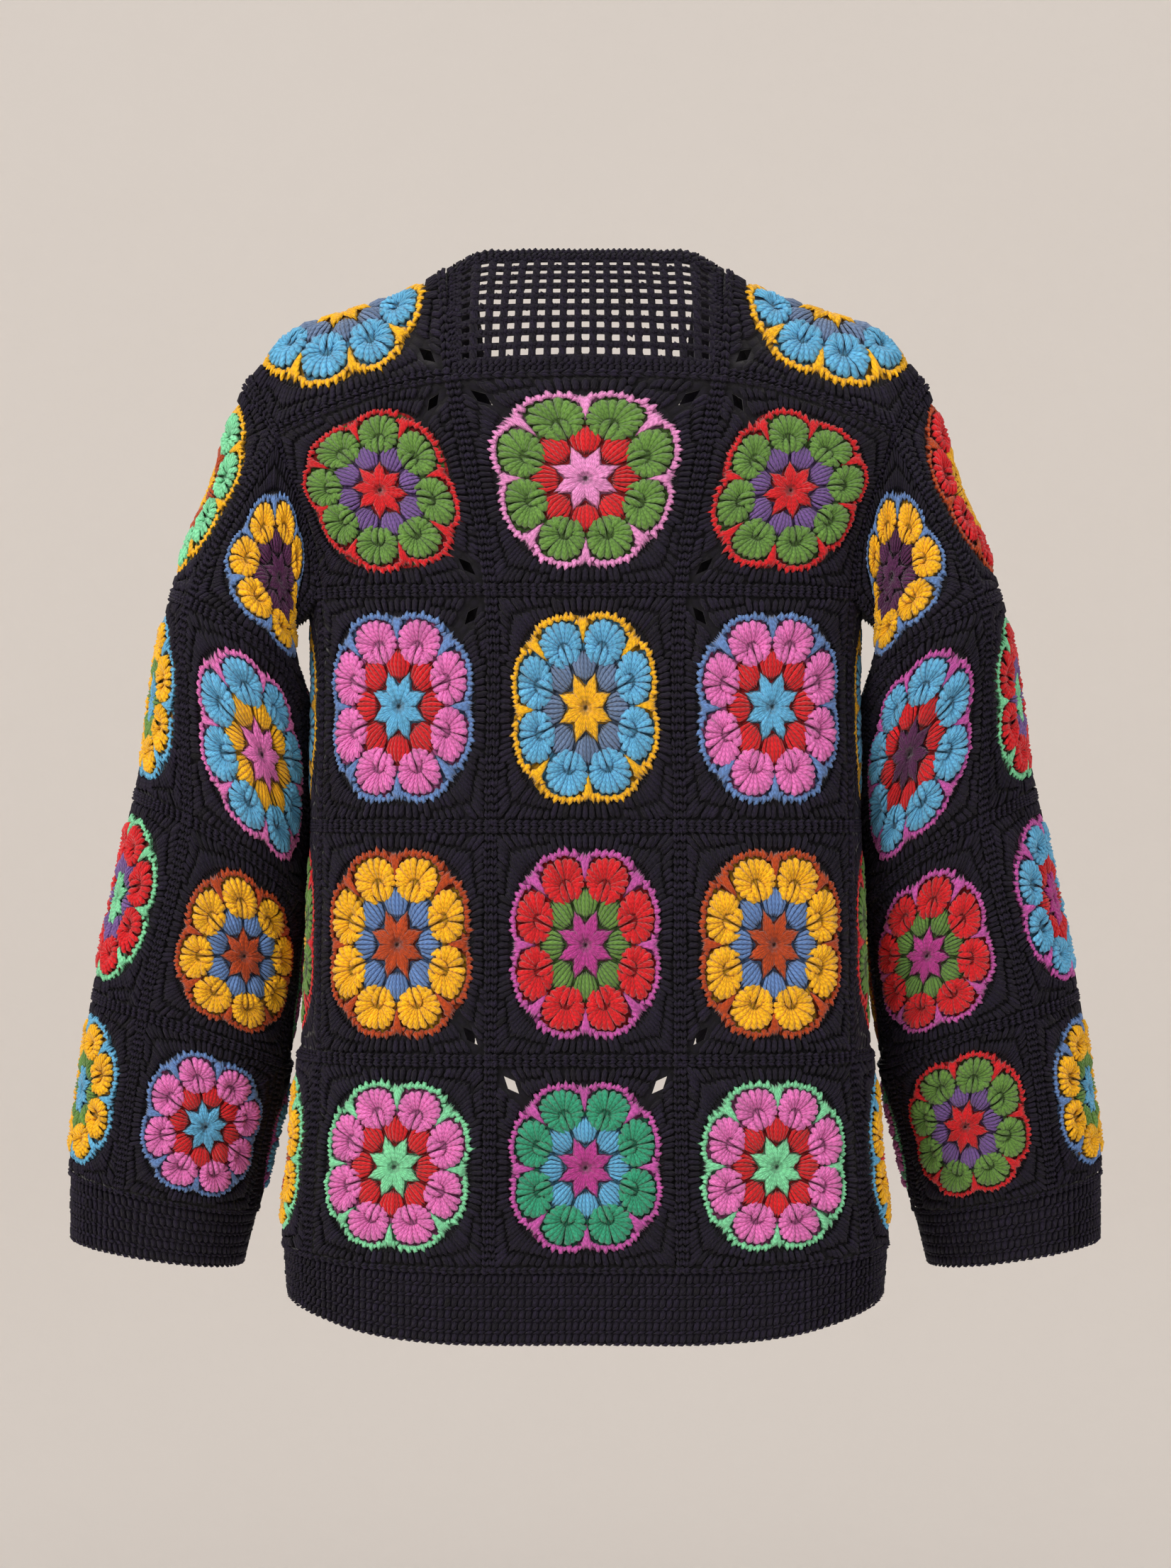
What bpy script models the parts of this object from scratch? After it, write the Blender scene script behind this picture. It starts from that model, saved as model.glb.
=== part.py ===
"""Crochet cardigan of flower squares, worn open and hollow, with nobody in it.

The frame: +Z up, the garment's front faces -Y, its left side is +X.
The origin lies on the centre line, level with the top of the back neck, where the shoulders carry it.
Surfaces are worked out as S(u, v), with one unit of u or v for each crocheted square.
"""
import math

import bpy
import numpy as np

CM = 0.01
MM = 0.001

# ---- driving sizes -------------------------------------------------------------------------------
WALL = 2.4 * MM            # thickness of the crocheted fabric
SEAM_GAP = 0.4 * MM        # clear space between joined pieces
ARMHOLE_GAP = 0.6 * MM     # the same for the sleeves, which fold sharply under the arm
TOP_COLUMN = 11.2 * CM     # width of one square at the front's top seam
NET_GAP = 0.9 * MM         # and for the neck's net, whose edges are cut finer
SEAM_RIDGE = 1.2 * MM      # how far the joining ridges stand out
BACK_ROUND = 4.0           # roundness power of the body's sections behind (2 is an ellipse)
FRONT_ROUND = 2.4          # and in front
SLEEVE_ROUND = 2.2         # the same for the sleeves
BAND_WIDTH = 2.2 * CM      # front bands
HEM_ROWS = 0.33            # hem band's height, in squares
CUFF_ROWS = 0.37           # cuff's height, in squares

# The body's sections, in cm. column is the width of one square there; side_rise lifts the sides.
BODY_SECTIONS = (
    # v,    z,     half_width, back_y, front_y, column, side_rise
    (1.0,   -21.9, 17.2,       9.7,    -11.7,   11.6,   0.0),
    (2.0,   -36.3, 17.1,       10.1,   -11.6,   11.5,   0.0),
    (3.0,   -50.5, 17.8,       10.8,   -12.2,   11.5,   0.0),
    (4.0,   -63.3, 18.7,       11.6,   -13.0,   11.7,   0.8),
    (4.0 + HEM_ROWS, -67.6, 18.5, 11.6, -13.0,  11.7,   2.2),
)

# The seam above the top row of squares, in cm: back neck, over the armhole, to the front edge.
TOP_SEAM = (
    # u,   x,    y,    z
    (0.0,  0.0,  7.3,  -8.2),
    (0.5,  8.3,  6.9,  -8.5),
    (1.0,  13.9, 6.2,  -9.7),
    (1.5,  19.2, 4.6,  -11.8),
    (2.0,  19.8, 0.0,  -12.6),
    (2.5,  19.2, -4.8, -12.0),
    (3.0,  13.8, -5.9, -9.4),
    (3.5,  8.6,  -5.4, -6.6),
    (3.7,  6.5,  -5.5, -6.5),
)

# The ridge line of the shoulder, in cm: a is 0 at the neck and 1 at the sleeve.
SHOULDER_RIDGE = (
    # a,   x,    y,    z
    (0.0,  8.8,  1.0,  -1.3),
    (0.25, 12.0, 0.8,  -3.1),
    (0.5,  15.3, 0.6,  -3.9),
    (0.75, 18.6, 0.3,  -5.4),
    (1.0,  21.4, 0.0,  -8.3),
)

# The neck edge of the yoke, in cm, from the centre of the back to the shoulder.
NECK_EDGE = (
    # u,   x,    y,    z
    (0.0,  0.0,  2.9,  -0.15),
    (0.3,  4.7,  2.6,  -0.15),
    (0.42, 6.9,  2.0,  -0.25),
    (0.5,  8.8,  1.0,  -1.3),
)
YOKE_BULGE = (0.0, 0.95, 0.5)           # how far the net's middle rounds outwards, in cm
RIDGE_AT = 0.5                          # the ridge line's place between the shoulder's two seams
BAND_AT_SHOULDER = (7.0, 1.65, -0.35)   # free edge of the front band on the shoulder's ridge, in cm
BAND_STANDS_OFF = (-1.8, -0.5, 0.9)     # and half way down to the front's seam, from the square's edge

# The sleeve's sections, in cm and degrees. half_out lies across the arm, half_deep along Y;
# tilt lifts the outer side, turn winds the columns to the back, drop lowers the side next to the body.
SLEEVE_SECTIONS = (
    # v,   x,     y,    z,     half_out, half_deep, tilt, turn, drop
    (1.0,  21.85, 0.3,  -23.3, 4.3,      8.8,       20.0, 20.0, 4.6),
    (2.0,  23.35, -1.4, -36.2, 5.45,     7.3,       20.0, 32.0, 3.2),
    (3.0,  25.3,  -2.6, -48.7, 6.2,      6.5,       14.0, 23.0, 1.5),
    (4.0,  27.35, -4.3, -60.1, 5.85,     5.9,       12.0, 24.0, 0.0),
    (4.0 + CUFF_ROWS, 27.85, -4.8, -63.9, 5.4, 5.3, 9.0,  24.0, 0.0),
)
UNDERARM_AT = 0.35         # where, in row 1 of the sleeve, the underarm has opened
UNDERARM_PUSH = 2.5 * CM   # how far it is pushed away from the body there

# The flower of a square. Rings run outwards from the centre star; radius is a share of the flower,
# height stands on the fabric. on_ray holds at multiples of 45 degrees, between at the petals' middles.
FLOWER_WIDE = 0.81         # the flower's share of its square, across
FLOWER_TALL = 0.82         # and down
FLOWER_SQUARED = 2.7       # how its outline nears the square's shape (2 is an ellipse)
STAR_RADIUS = 0.34
STAR_HEIGHT = 2.2 * MM
CENTRE_HEIGHT = 1.6 * MM
FLOWER_RINGS = (
    # name,          radius_on_ray, radius_between, height_on_ray, height_between
    ("small petals", 0.54,          0.46,           2.6 * MM,      1.4 * MM),
    ("large petals", 0.74,          0.76,           1.0 * MM,      3.8 * MM),
    ("outline",      0.93,          0.99,           0.3 * MM,      0.5 * MM),
)
PRESSED = 0.45             # relief left on squares that are pressed under the arm

# Corner chain spaces that are stretched open over 4 mm, near the yoke and beside the middle column.
CORNER_NEAR = 0.70         # the gap's near and far ends, from a square's centre to its corner
CORNER_FAR = 0.86
CORNER_HALF = 0.035        # and half its width

# The yoke's net.
NET_COLUMNS = 17
NET_ROWS = 9
NET_HOLE = 0.5             # share of a mesh that is open, across and down
NET_SIDE = 0.028           # solid posts at the sides, as a share of the yoke's width
NET_TOP = 0.10             # solid bands above and below, as shares of its height
NET_BOTTOM = 0.09

EDGE_STEPS = 4             # steps along one side of a square
RAYS = 16                  # points round a flower

YARN_COLOUR = (0.022, 0.018, 0.024, 1.0)
YARN_ROUGHNESS = 0.9
SHARP_ANGLE = math.radians(50)


# ---- curves and surfaces -------------------------------------------------------------------------
def through(keys, points, at):
    """Smooth curve through points[k] at keys[k], read at each value of at (cubic, slopes averaged)."""
    keys = np.asarray(keys, float)
    points = np.asarray(points, float)
    at = np.asarray(at, float)
    if points.ndim == 2:
        points = np.repeat(points[:, None, :], len(at), axis=1)
    steps = np.diff(keys)[:, None, None]
    slopes = np.diff(points, axis=0) / steps
    tangents = np.concatenate([slopes[:1], slopes[:1], slopes[1:]])[:len(keys)].copy()
    share = steps[1:] / (steps[1:] + steps[:-1])
    tangents[1:-1] = slopes[:-1] * share + slopes[1:] * (1.0 - share)
    tangents[-1] = slopes[-1]
    span = np.clip(np.searchsorted(keys, at, side="right") - 1, 0, len(keys) - 2)
    each = np.arange(len(at))
    length = (keys[span + 1] - keys[span])[:, None]
    f = (at - keys[span])[:, None] / length
    start, end = points[span, each], points[span + 1, each]
    leave, arrive = tangents[span, each] * length, tangents[span + 1, each] * length
    return ((2 * f**3 - 3 * f**2 + 1) * start + (f**3 - 2 * f**2 + f) * leave
            + (3 * f**2 - 2 * f**3) * end + (f**3 - f**2) * arrive)


def oval(half_x, half_y, back_round, front_round):
    """Points and running length of half an oval, from the +Y end round the +X side to the -Y end."""
    angle = np.linspace(0.0, math.pi, 1441)
    roundness = np.where(angle < math.pi / 2, back_round, front_round)
    x = half_x * np.abs(np.sin(angle)) ** (2.0 / roundness)
    y = half_y * np.sign(np.cos(angle)) * np.abs(np.cos(angle)) ** (2.0 / roundness)
    run = np.concatenate([[0.0], np.cumsum(np.hypot(np.diff(x), np.diff(y)))])
    return x, y, run


def body_section(row, u):
    """A level section of the body: u squares round from the middle of the back, + to the left."""
    v, z, half_width, back_y, front_y, column, side_rise = row
    x, y, run = oval(half_width, (back_y - front_y) / 2, BACK_ROUND, FRONT_ROUND)
    along = np.abs(u) * column
    px = np.interp(along, run, x)
    py = np.interp(along, run, y) + (back_y + front_y) / 2
    pz = z + side_rise * (px / half_width) ** 4
    return np.stack([px * np.sign(u), py, pz], axis=1) * CM


def top_seam(u):
    """The seam above row 1 at u squares from the middle of the back."""
    seam = np.array(TOP_SEAM)
    points = through(seam[:, 0], seam[:, 1:], np.abs(u)) * CM
    points[:, 0] *= np.where(u < 0, -1.0, 1.0)
    return points


def body(u, v):
    """The body's fabric: v is 0 at the top seam, 4 at the hem band's top."""
    rows = [top_seam(u)] + [body_section(row, u) for row in BODY_SECTIONS]
    keys = [0.0] + [row[0] for row in BODY_SECTIONS]
    return through(keys, rows, v)


def shoulder(a, w):
    """The left shoulder square: a from neck to sleeve, w from its back seam (0) to its front seam (1)."""
    ridge = np.array(SHOULDER_RIDGE)
    rows = [top_seam(0.5 + a), through(ridge[:, 0], ridge[:, 1:], a) * CM, top_seam(3.5 - a)]
    return through([0.0, RIDGE_AT, 1.0], rows, w)


def chords(curve, start, end, count, at):
    """The straight runs between count + 1 even points of a curve, read at each value of at."""
    knots = np.linspace(start, end, count + 1)
    places = curve(knots)
    return np.stack([np.interp(at, knots, places[:, axis]) for axis in range(3)], axis=1)


def yoke(u, v):
    """The net between the shoulders: u -0.5..0.5 from right to left, v 0 at the neck, 1 at the back.

    Its four edges are the neck line, the back's seam and the shoulder squares' inner edges, and the
    inside is blended from them: each edge's share falls off across the net."""
    neck = np.array(NECK_EDGE)

    def neck_line(at):
        return through(neck[:, 0], neck[:, 1:], at) * CM

    def shoulder_edge(w):
        return shoulder(np.zeros_like(w), w)

    half = np.abs(u)
    zero, end = np.zeros(1), np.full(1, 0.5)
    top = neck_line(half)
    low = chords(top_seam, 0.0, 0.5, EDGE_STEPS // 2, half)
    side = chords(shoulder_edge, 0.0, RIDGE_AT, EDGE_STEPS // 2, RIDGE_AT * (1.0 - v))
    fall = v[:, None]
    bulge = np.array(YOKE_BULGE) * CM * np.sin(math.pi * v)[:, None]
    middle = neck_line(zero) * (1 - fall) + top_seam(zero) * fall + bulge
    share = np.stack([half / 0.5, (half / 0.5) ** 2, (half / 0.5) ** 2], axis=1)
    corners_top = neck_line(zero) * (1 - share) + neck_line(end) * share
    corners_low = top_seam(zero) * (1 - share) + top_seam(end) * share
    points = (middle * (1 - share) + side * share
              + (top - corners_top) * (1 - fall) + (low - corners_low) * fall)
    points[:, 0] *= np.where(u < 0, -1.0, 1.0)
    return points


def armhole(u):
    """The left armhole: u 0..1 over the shoulder from the front, 1..2 down the back, 2..3 under, 3..4 up."""
    u = np.mod(u, 4.0)
    over = shoulder(np.ones_like(u), np.clip(1.0 - u, 0, 1))
    back_edge = body(np.full_like(u, 1.5), np.clip(u - 1.0, 0, 1))
    under = body(np.clip(u - 0.5, 1.5, 2.5), np.ones_like(u))
    front_edge = body(np.full_like(u, 2.5), np.clip(4.0 - u, 0, 1))
    part = np.clip(u.astype(int), 0, 3)[:, None]
    return np.select([part == 0, part == 1, part == 2], [over, back_edge, under], front_edge)


def inner_share(u):
    """1 on the sleeve's line next to the body, falling to 0 on its outer side."""
    return ((1.0 - np.cos((u - 0.5) * math.pi / 2)) / 2) ** 3


def sleeve_section(row, u):
    """One section of the left sleeve at u squares round it, equal lengths along its oval."""
    v, cx, cy, cz, half_out, half_deep, tilt, turn, drop = row
    x, y, run = oval(half_deep, half_out, SLEEVE_ROUND, SLEEVE_ROUND)
    share = np.mod((u - 0.5) / 4.0 + turn / 360.0, 1.0)
    along = np.where(share <= 0.5, share, 1.0 - share) * 2.0 * run[-1]
    deep = np.interp(along, run, x) * np.where(share <= 0.5, 1.0, -1.0)
    out = np.interp(along, run, y)
    lean = math.radians(tilt)
    low = drop * inner_share(u + turn / 90.0)
    return np.stack([cx + out * math.cos(lean), cy + deep, cz + out * math.sin(lean) - low], axis=1) * CM


def sleeve(u, v):
    """The left sleeve: u 0..4 round it (top, back, under, front columns), v 0 at the armhole."""
    first = armhole(u)
    rings = [sleeve_section(row, u) for row in SLEEVE_SECTIONS]
    opened = first * (1 - UNDERARM_AT) + rings[0] * UNDERARM_AT
    opened[:, 0] += UNDERARM_PUSH * inner_share(u)
    keys = [0.0, UNDERARM_AT] + [row[0] for row in SLEEVE_SECTIONS]
    return through(keys, [first, opened] + rings, v)


def front_band(s, t):
    """The left front band: s 0 at the squares' edge, 1 at its free edge; t -1 at the yoke, 0 at the
    front's top seam, on down to the hem."""
    t = np.asarray(t, float)
    square_edge_low = body(np.full_like(t, 3.5), np.clip(t, 0, None))
    square_edge_top = shoulder(np.zeros_like(t), 1.0 + np.clip(t, -1, 0) * (1.0 - RIDGE_AT))
    square_edge = np.where((t >= 0)[:, None], square_edge_low, square_edge_top)
    columns = through([0.0] + [row[0] for row in BODY_SECTIONS],
                      [[TOP_COLUMN]] + [[row[5] * CM] for row in BODY_SECTIONS], np.clip(t, 0, None))[:, 0]
    free_low = body(3.5 + BAND_WIDTH / columns, np.clip(t, 0, None))
    free_seam = body(np.full(1, 3.5 + BAND_WIDTH / TOP_COLUMN), np.zeros(1))
    lift = through([-1.0, -0.5, 0.0],
                   [np.array(BAND_AT_SHOULDER) * CM - shoulder(np.zeros(1), np.full(1, RIDGE_AT))[0],
                    np.array(BAND_STANDS_OFF) * CM,
                    free_seam[0] - shoulder(np.zeros(1), np.ones(1))[0]], np.clip(t, -1, 0))
    free_edge = np.where((t >= 0)[:, None], free_low, square_edge_top + lift)
    s = np.asarray(s, float)[:, None]
    return square_edge * (1 - s) + free_edge * s


# ---- walls ---------------------------------------------------------------------------------------
class Wall:
    """A closed wall laid on a surface: points carry u, v, a side (+1 outer, -1 inner) and a relief."""

    def __init__(self, name, surface, outward, gap=SEAM_GAP):
        self.name = name
        self.surface = surface
        self.outward = outward
        self.gap = gap
        self.points = []
        self.faces = []
        self.rims = []

    def point(self, u, v, side, relief=0.0, inward=(0, 0)):
        """Adds a point; inward tells which way the piece lies from an edge point, in u and v."""
        self.points.append((u, v, side, relief, inward[0], inward[1]))
        return len(self.points) - 1

    def face(self, *corners):
        """Adds a face given counter-clockwise in (u, v); it ends up facing outwards."""
        self.faces.append(corners if self.outward > 0 else corners[::-1])

    def solve(self):
        """Works out places, normals and edge directions of all points."""
        data = np.array(self.points)
        u, v = data[:, 0], data[:, 1]
        step = 1e-3
        self.base = self.surface(u, v)
        # steps lean to the inside, so that an edge's slope is its own piece's
        du = np.where(data[:, 4] != 0, data[:, 4], 1.0) * step
        dv = np.where(data[:, 5] != 0, data[:, 5], 1.0) * step
        along_u = (self.surface(u + du, v) - self.base) / du[:, None]
        along_v = (self.surface(u, v + dv) - self.base) / dv[:, None]
        normal = np.cross(along_u, along_v) * self.outward
        self.normal = normal / np.linalg.norm(normal, axis=1)[:, None]
        self.edge = (data[:, 4] != 0) | (data[:, 5] != 0)
        self.along_u, self.along_v = along_u, along_v
        self.inward = data[:, 4:6]
        self.lift = data[:, 2] * WALL / 2 + data[:, 3]

    def close(self):
        """Closes the edges; both sides of a seam are cut along the same diagonal, from its higher end."""
        height = self.base @ np.array([0.1, 0.3, 1.0])
        for a, b, c, d in self.rims:
            if height[a] > height[b]:
                self.face(a, c, b)
                self.face(a, d, c)
            else:
                self.face(a, d, b)
                self.face(d, c, b)

    def build(self):
        """Places of all points, each edge set back square to its seam by half the gap."""
        place = self.base + self.normal * self.lift[:, None]
        for axis, tangent, into in ((0, self.along_v, self.along_u), (1, self.along_u, self.along_v)):
            across = np.cross(self.normal, tangent)
            across /= np.linalg.norm(across, axis=1)[:, None]
            way = np.sign(np.sum(across * into, axis=1)) * self.inward[:, axis]
            place += across * way[:, None] * self.gap / 2
        return place


def blend_seam_normals(walls, mirrored):
    """Gives edge points that share a place one normal, so that joined walls meet on one mitre.

    The walls in mirrored stand on both sides of the garment, so they are met on both."""
    flip = np.array([-1.0, 1.0, 1.0])
    met = [(wall.base[wall.edge], wall.normal[wall.edge]) for wall in walls]
    met += [(wall.base[wall.edge] * flip, wall.normal[wall.edge] * flip) for wall in mirrored]
    places = np.concatenate([place for place, normal in met])
    normals = np.concatenate([normal for place, normal in met])
    for wall in walls:
        shared = np.empty((int(wall.edge.sum()), 3))
        for index, place in enumerate(wall.base[wall.edge]):
            near = np.linalg.norm(places - place, axis=1) < 0.3 * MM
            # each direction counts once, however many of its points lie here
            shared[index] = np.unique(np.round(normals[near], 2), axis=0).sum(axis=0)
        wall.blended = shared / np.linalg.norm(shared, axis=1)[:, None]
    for wall in walls:
        wall.normal[wall.edge] = wall.blended


def square_side(step):
    """Places of the RAYS points round a square's edge, from the middle of its +u side."""
    corners = [(1, 0), (1, .5), (1, 1), (.5, 1)]
    turns = [(1, 0, 0, 1), (0, -1, 1, 0), (-1, 0, 0, -1), (0, 1, -1, 0)]
    p, q = corners[step % 4]
    a, b, c, d = turns[step // 4]
    return a * p + b * q, c * p + d * q


def squares(wall, u0, columns, v0, rows, pressed=(), gaps=()):
    """Lays columns x rows of flower squares on a wall: flowers raised outside, plain inside.

    pressed lists (column, row) squares with low relief; gaps lists (column, row, corner) chain spaces
    cut through, where corner counts from +u+v counter-clockwise."""
    last_u, last_v = columns * EDGE_STEPS, rows * EDGE_STEPS
    outer, inner, cut_corners = {}, {}, {}

    def inward(i, j):
        return (i == 0) - (i == last_u), (j == 0) - (j == last_v)

    for i in range(last_u + 1):
        for j in range(last_v + 1):
            u, v = u0 + i / EDGE_STEPS, v0 + j / EDGE_STEPS
            if i % EDGE_STEPS == 0 or j % EDGE_STEPS == 0:
                under_arm = j == 0 and any((near // EDGE_STEPS, 0) in pressed for near in (i, i - 1))
                outer[i, j] = wall.point(u, v, 1, 0.0 if under_arm else SEAM_RIDGE, inward(i, j))
            inner[i, j] = wall.point(u, v, -1, 0.0, inward(i, j))

    for column in range(columns):
        for row in range(rows):
            mid_u, mid_v = u0 + column + 0.5, v0 + row + 0.5
            relief = PRESSED if (column, row) in pressed else 1.0
            mid_i, mid_j = column * EDGE_STEPS + 2, row * EDGE_STEPS + 2

            def spot(radius, ray, height):
                x, y = math.cos(math.radians(22.5 * ray)), math.sin(math.radians(22.5 * ray))
                squared = (abs(x) ** FLOWER_SQUARED + abs(y) ** FLOWER_SQUARED) ** (-radius / FLOWER_SQUARED)
                return wall.point(mid_u + radius * squared * x * FLOWER_WIDE / 2,
                                  mid_v + radius * squared * y * FLOWER_TALL / 2, 1, height * relief)

            rim = []
            for ray in range(RAYS):
                p, q = square_side(ray)
                rim.append(outer[int(mid_i + 2 * p), int(mid_j + 2 * q)])
            centre = wall.point(mid_u, mid_v, 1, CENTRE_HEIGHT * relief)
            star = [spot(STAR_RADIUS, ray, STAR_HEIGHT) for ray in range(1, RAYS, 2)]
            rings = []
            for name, radius_ray, radius_between, height_ray, height_between in FLOWER_RINGS:
                rings.append([spot(radius_between if ray % 2 else radius_ray, ray,
                                   height_between if ray % 2 else height_ray) for ray in range(RAYS)])
            rings.append(rim)
            for k in range(8):
                here, after = star[k], star[(k + 1) % 8]
                first, ray_point, last = (rings[0][(2 * k + n) % RAYS] for n in (1, 2, 3))
                wall.face(centre, here, after)
                wall.face(here, first, ray_point)
                wall.face(here, ray_point, after)
                wall.face(after, ray_point, last)
            open_corners = [corner for corner in range(4) if (column, row, corner) in gaps]
            for low, high in zip(rings[:-1], rings[1:]):
                for ray in range(RAYS):
                    after = (ray + 1) % RAYS
                    if high is rim and any(ray in (4 * c + 1, 4 * c + 2) for c in open_corners):
                        continue
                    if ray % 2:
                        wall.face(low[ray], high[ray], low[after])
                        wall.face(high[ray], high[after], low[after])
                    else:
                        wall.face(low[ray], high[ray], high[after])
                        wall.face(low[ray], high[after], low[after])
            for corner in open_corners:
                cut_corners[column, row, corner] = corner_gap(wall, mid_u, mid_v, corner, rings[-2], rim)
            for i in range(EDGE_STEPS):
                for j in range(EDGE_STEPS):
                    corner = {(3, 3): 0, (0, 3): 1, (0, 0): 2, (3, 0): 3}.get((i, j))
                    quad = [inner[column * EDGE_STEPS + i + m, row * EDGE_STEPS + j + n]
                            for m, n in ((0, 0), (1, 0), (1, 1), (0, 1))]
                    if corner in open_corners:
                        inner_gap(wall, mid_u, mid_v, corner, quad, cut_corners[column, row, corner])
                    else:
                        wall.face(quad[0], quad[2], quad[1])
                        wall.face(quad[0], quad[3], quad[2])

    close_edges(wall, outer, inner, last_u, last_v)


def corner_loop(wall, mid_u, mid_v, corner, side):
    """Four points round a chain space: near the centre, then counter-clockwise."""
    loop = []
    middle = (CORNER_NEAR + CORNER_FAR) / 2
    for p, q in ((CORNER_NEAR, CORNER_NEAR), (middle + CORNER_HALF, middle - CORNER_HALF),
                 (CORNER_FAR, CORNER_FAR), (middle - CORNER_HALF, middle + CORNER_HALF)):
        for turn in range(corner):
            p, q = -q, p
        loop.append(wall.point(mid_u + p / 2, mid_v + q / 2, side))
    return loop


def corner_gap(wall, mid_u, mid_v, corner, outline, rim):
    """Outer faces round a chain space between the flower's outline and the square's corner."""
    a, b, c, d = corner_loop(wall, mid_u, mid_v, corner, 1)
    ray = 4 * corner + 2
    c1, c2, c3 = outline[ray - 1], outline[ray], outline[ray + 1]
    b1, b2, b3 = rim[ray - 1], rim[ray], rim[ray + 1]
    for face in ((c1, b1, b), (b1, b2, c), (b1, c, b), (b2, b3, c), (b3, d, c), (b3, c3, d),
                 (c3, c2, d), (c2, a, d), (c2, c1, a), (c1, b, a)):
        wall.face(*face)
    return a, b, c, d


def inner_gap(wall, mid_u, mid_v, corner, quad, outer_loop):
    """Inner faces round the same chain space, and its walls."""
    inner_loop = corner_loop(wall, mid_u, mid_v, corner, -1)
    quad = quad[corner:] + quad[:corner]
    for k in range(4):
        after = (k + 1) % 4
        wall.face(quad[k], inner_loop[k], quad[after])
        wall.face(inner_loop[k], inner_loop[after], quad[after])
        wall.face(outer_loop[k], outer_loop[after], inner_loop[after])
        wall.face(outer_loop[k], inner_loop[after], inner_loop[k])


def close_edges(wall, outer, inner, last_u, last_v, wraps=False):
    """Closes a wall along its free edges, from outer points to inner ones."""
    for i in range(last_u):
        after = (i + 1) % last_u if wraps else i + 1
        for j, low in ((0, True), (last_v, False)):
            a, b, c, d = outer[i, j], outer[after, j], inner[after, j], inner[i, j]
            if not low:
                a, b, c, d = b, a, d, c
            wall.rims.append((a, b, c, d))
    if wraps:
        return
    for j in range(last_v):
        for i, low in ((0, True), (last_u, False)):
            a, b, c, d = outer[i, j], outer[i, j + 1], inner[i, j + 1], inner[i, j]
            if low:
                a, b, c, d = b, a, d, c
            wall.rims.append((a, b, c, d))


def lattice(wall, u_lines, v_lines, open_cells=(), wraps=False, relief=0.0):
    """Lays a plain wall on the given lines, with some of its cells cut through."""
    last_u, last_v = len(u_lines) - (0 if wraps else 1), len(v_lines) - 1
    count = len(u_lines)
    open_cells = set(open_cells)
    outer, inner = {}, {}
    for i, u in enumerate(u_lines):
        for j, v in enumerate(v_lines):
            inward = (0 if wraps else (i == 0) - (i == last_u), (j == 0) - (j == last_v))
            rim = SEAM_RIDGE if inward != (0, 0) and relief else relief
            outer[i, j] = wall.point(u, v, 1, rim, inward)
            inner[i, j] = wall.point(u, v, -1, 0.0, inward)
    for i in range(last_u):
        for j in range(last_v):
            around = [(i % count, j), ((i + 1) % count, j), ((i + 1) % count, j + 1), (i % count, j + 1)]
            a, b, c, d = (outer[key] for key in around)
            e, f, g, h = (inner[key] for key in around)
            if (i, j) in open_cells:
                for top_a, top_b, low_a, low_b in ((a, b, e, f), (b, c, f, g), (c, d, g, h), (d, a, h, e)):
                    wall.face(top_a, top_b, low_b)
                    wall.face(top_a, low_b, low_a)
            else:
                for corners in ((a, b, c), (a, c, d), (e, g, f), (e, h, g)):
                    wall.face(*corners)
    close_edges(wall, outer, inner, last_u, last_v, wraps)


# ---- pieces --------------------------------------------------------------------------------------
def steps(start, end, count):
    """count + 1 even values from start to end."""
    return list(np.linspace(start, end, count + 1))


def back_panel():
    wall = Wall("back", body, 1)
    neck_gaps = [(1, 0, 2), (1, 0, 3), (0, 0, 3), (2, 0, 2)]
    column_gaps = [(0, 0, 0), (2, 0, 1), (0, 2, 0), (2, 2, 1), (1, 3, 3), (1, 3, 2), (0, 1, 3), (2, 1, 2)]
    squares(wall, -1.5, 3, 0.0, 4, gaps=neck_gaps + column_gaps)
    return wall


def side_panel():
    wall = Wall("side_left", body, 1)
    squares(wall, 1.5, 1, 1.0, 3, pressed=[(0, 0), (0, 1)])
    return wall


def front_panel():
    wall = Wall("front_left", body, 1)
    squares(wall, 2.5, 1, 0.0, 4)
    return wall


def shoulder_square():
    wall = Wall("shoulder_left", shoulder, -1)
    squares(wall, 0.0, 1, 0.0, 1, gaps=[(0, 0, 2)])
    return wall


def upper_sleeve():
    """The sleeve's top and back columns."""
    wall = Wall("sleeve_upper_left", sleeve, -1, ARMHOLE_GAP)
    squares(wall, 0.0, 2, 0.0, 4)
    return wall


def lower_sleeve():
    """The sleeve's under and front columns."""
    wall = Wall("sleeve_lower_left", sleeve, -1, ARMHOLE_GAP)
    squares(wall, 2.0, 2, 0.0, 4, pressed=[(0, 0), (0, 1), (0, 2)])
    return wall


def cuff():
    wall = Wall("cuff_left", sleeve, -1)
    lattice(wall, steps(0.0, 4.0, RAYS)[:-1], steps(4.0, 4.0 + CUFF_ROWS, 2), wraps=True, relief=0.6 * MM)
    return wall


def hem_band():
    wall = Wall("hem_band", body, 1)
    lattice(wall, steps(-3.5, 3.5, 7 * EDGE_STEPS), steps(4.0, 4.0 + HEM_ROWS, 2), relief=0.6 * MM)
    return wall


def front_band_strip():
    wall = Wall("front_band_left", front_band, 1)
    down = (steps(-1.0, 0.0, EDGE_STEPS // 2) + steps(0.0, 4.0, 4 * EDGE_STEPS)[1:]
            + steps(4.0, 4.0 + HEM_ROWS, 2)[1:])
    lattice(wall, [0.0, 0.5, 1.0], down, relief=0.6 * MM)
    return wall


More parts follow.
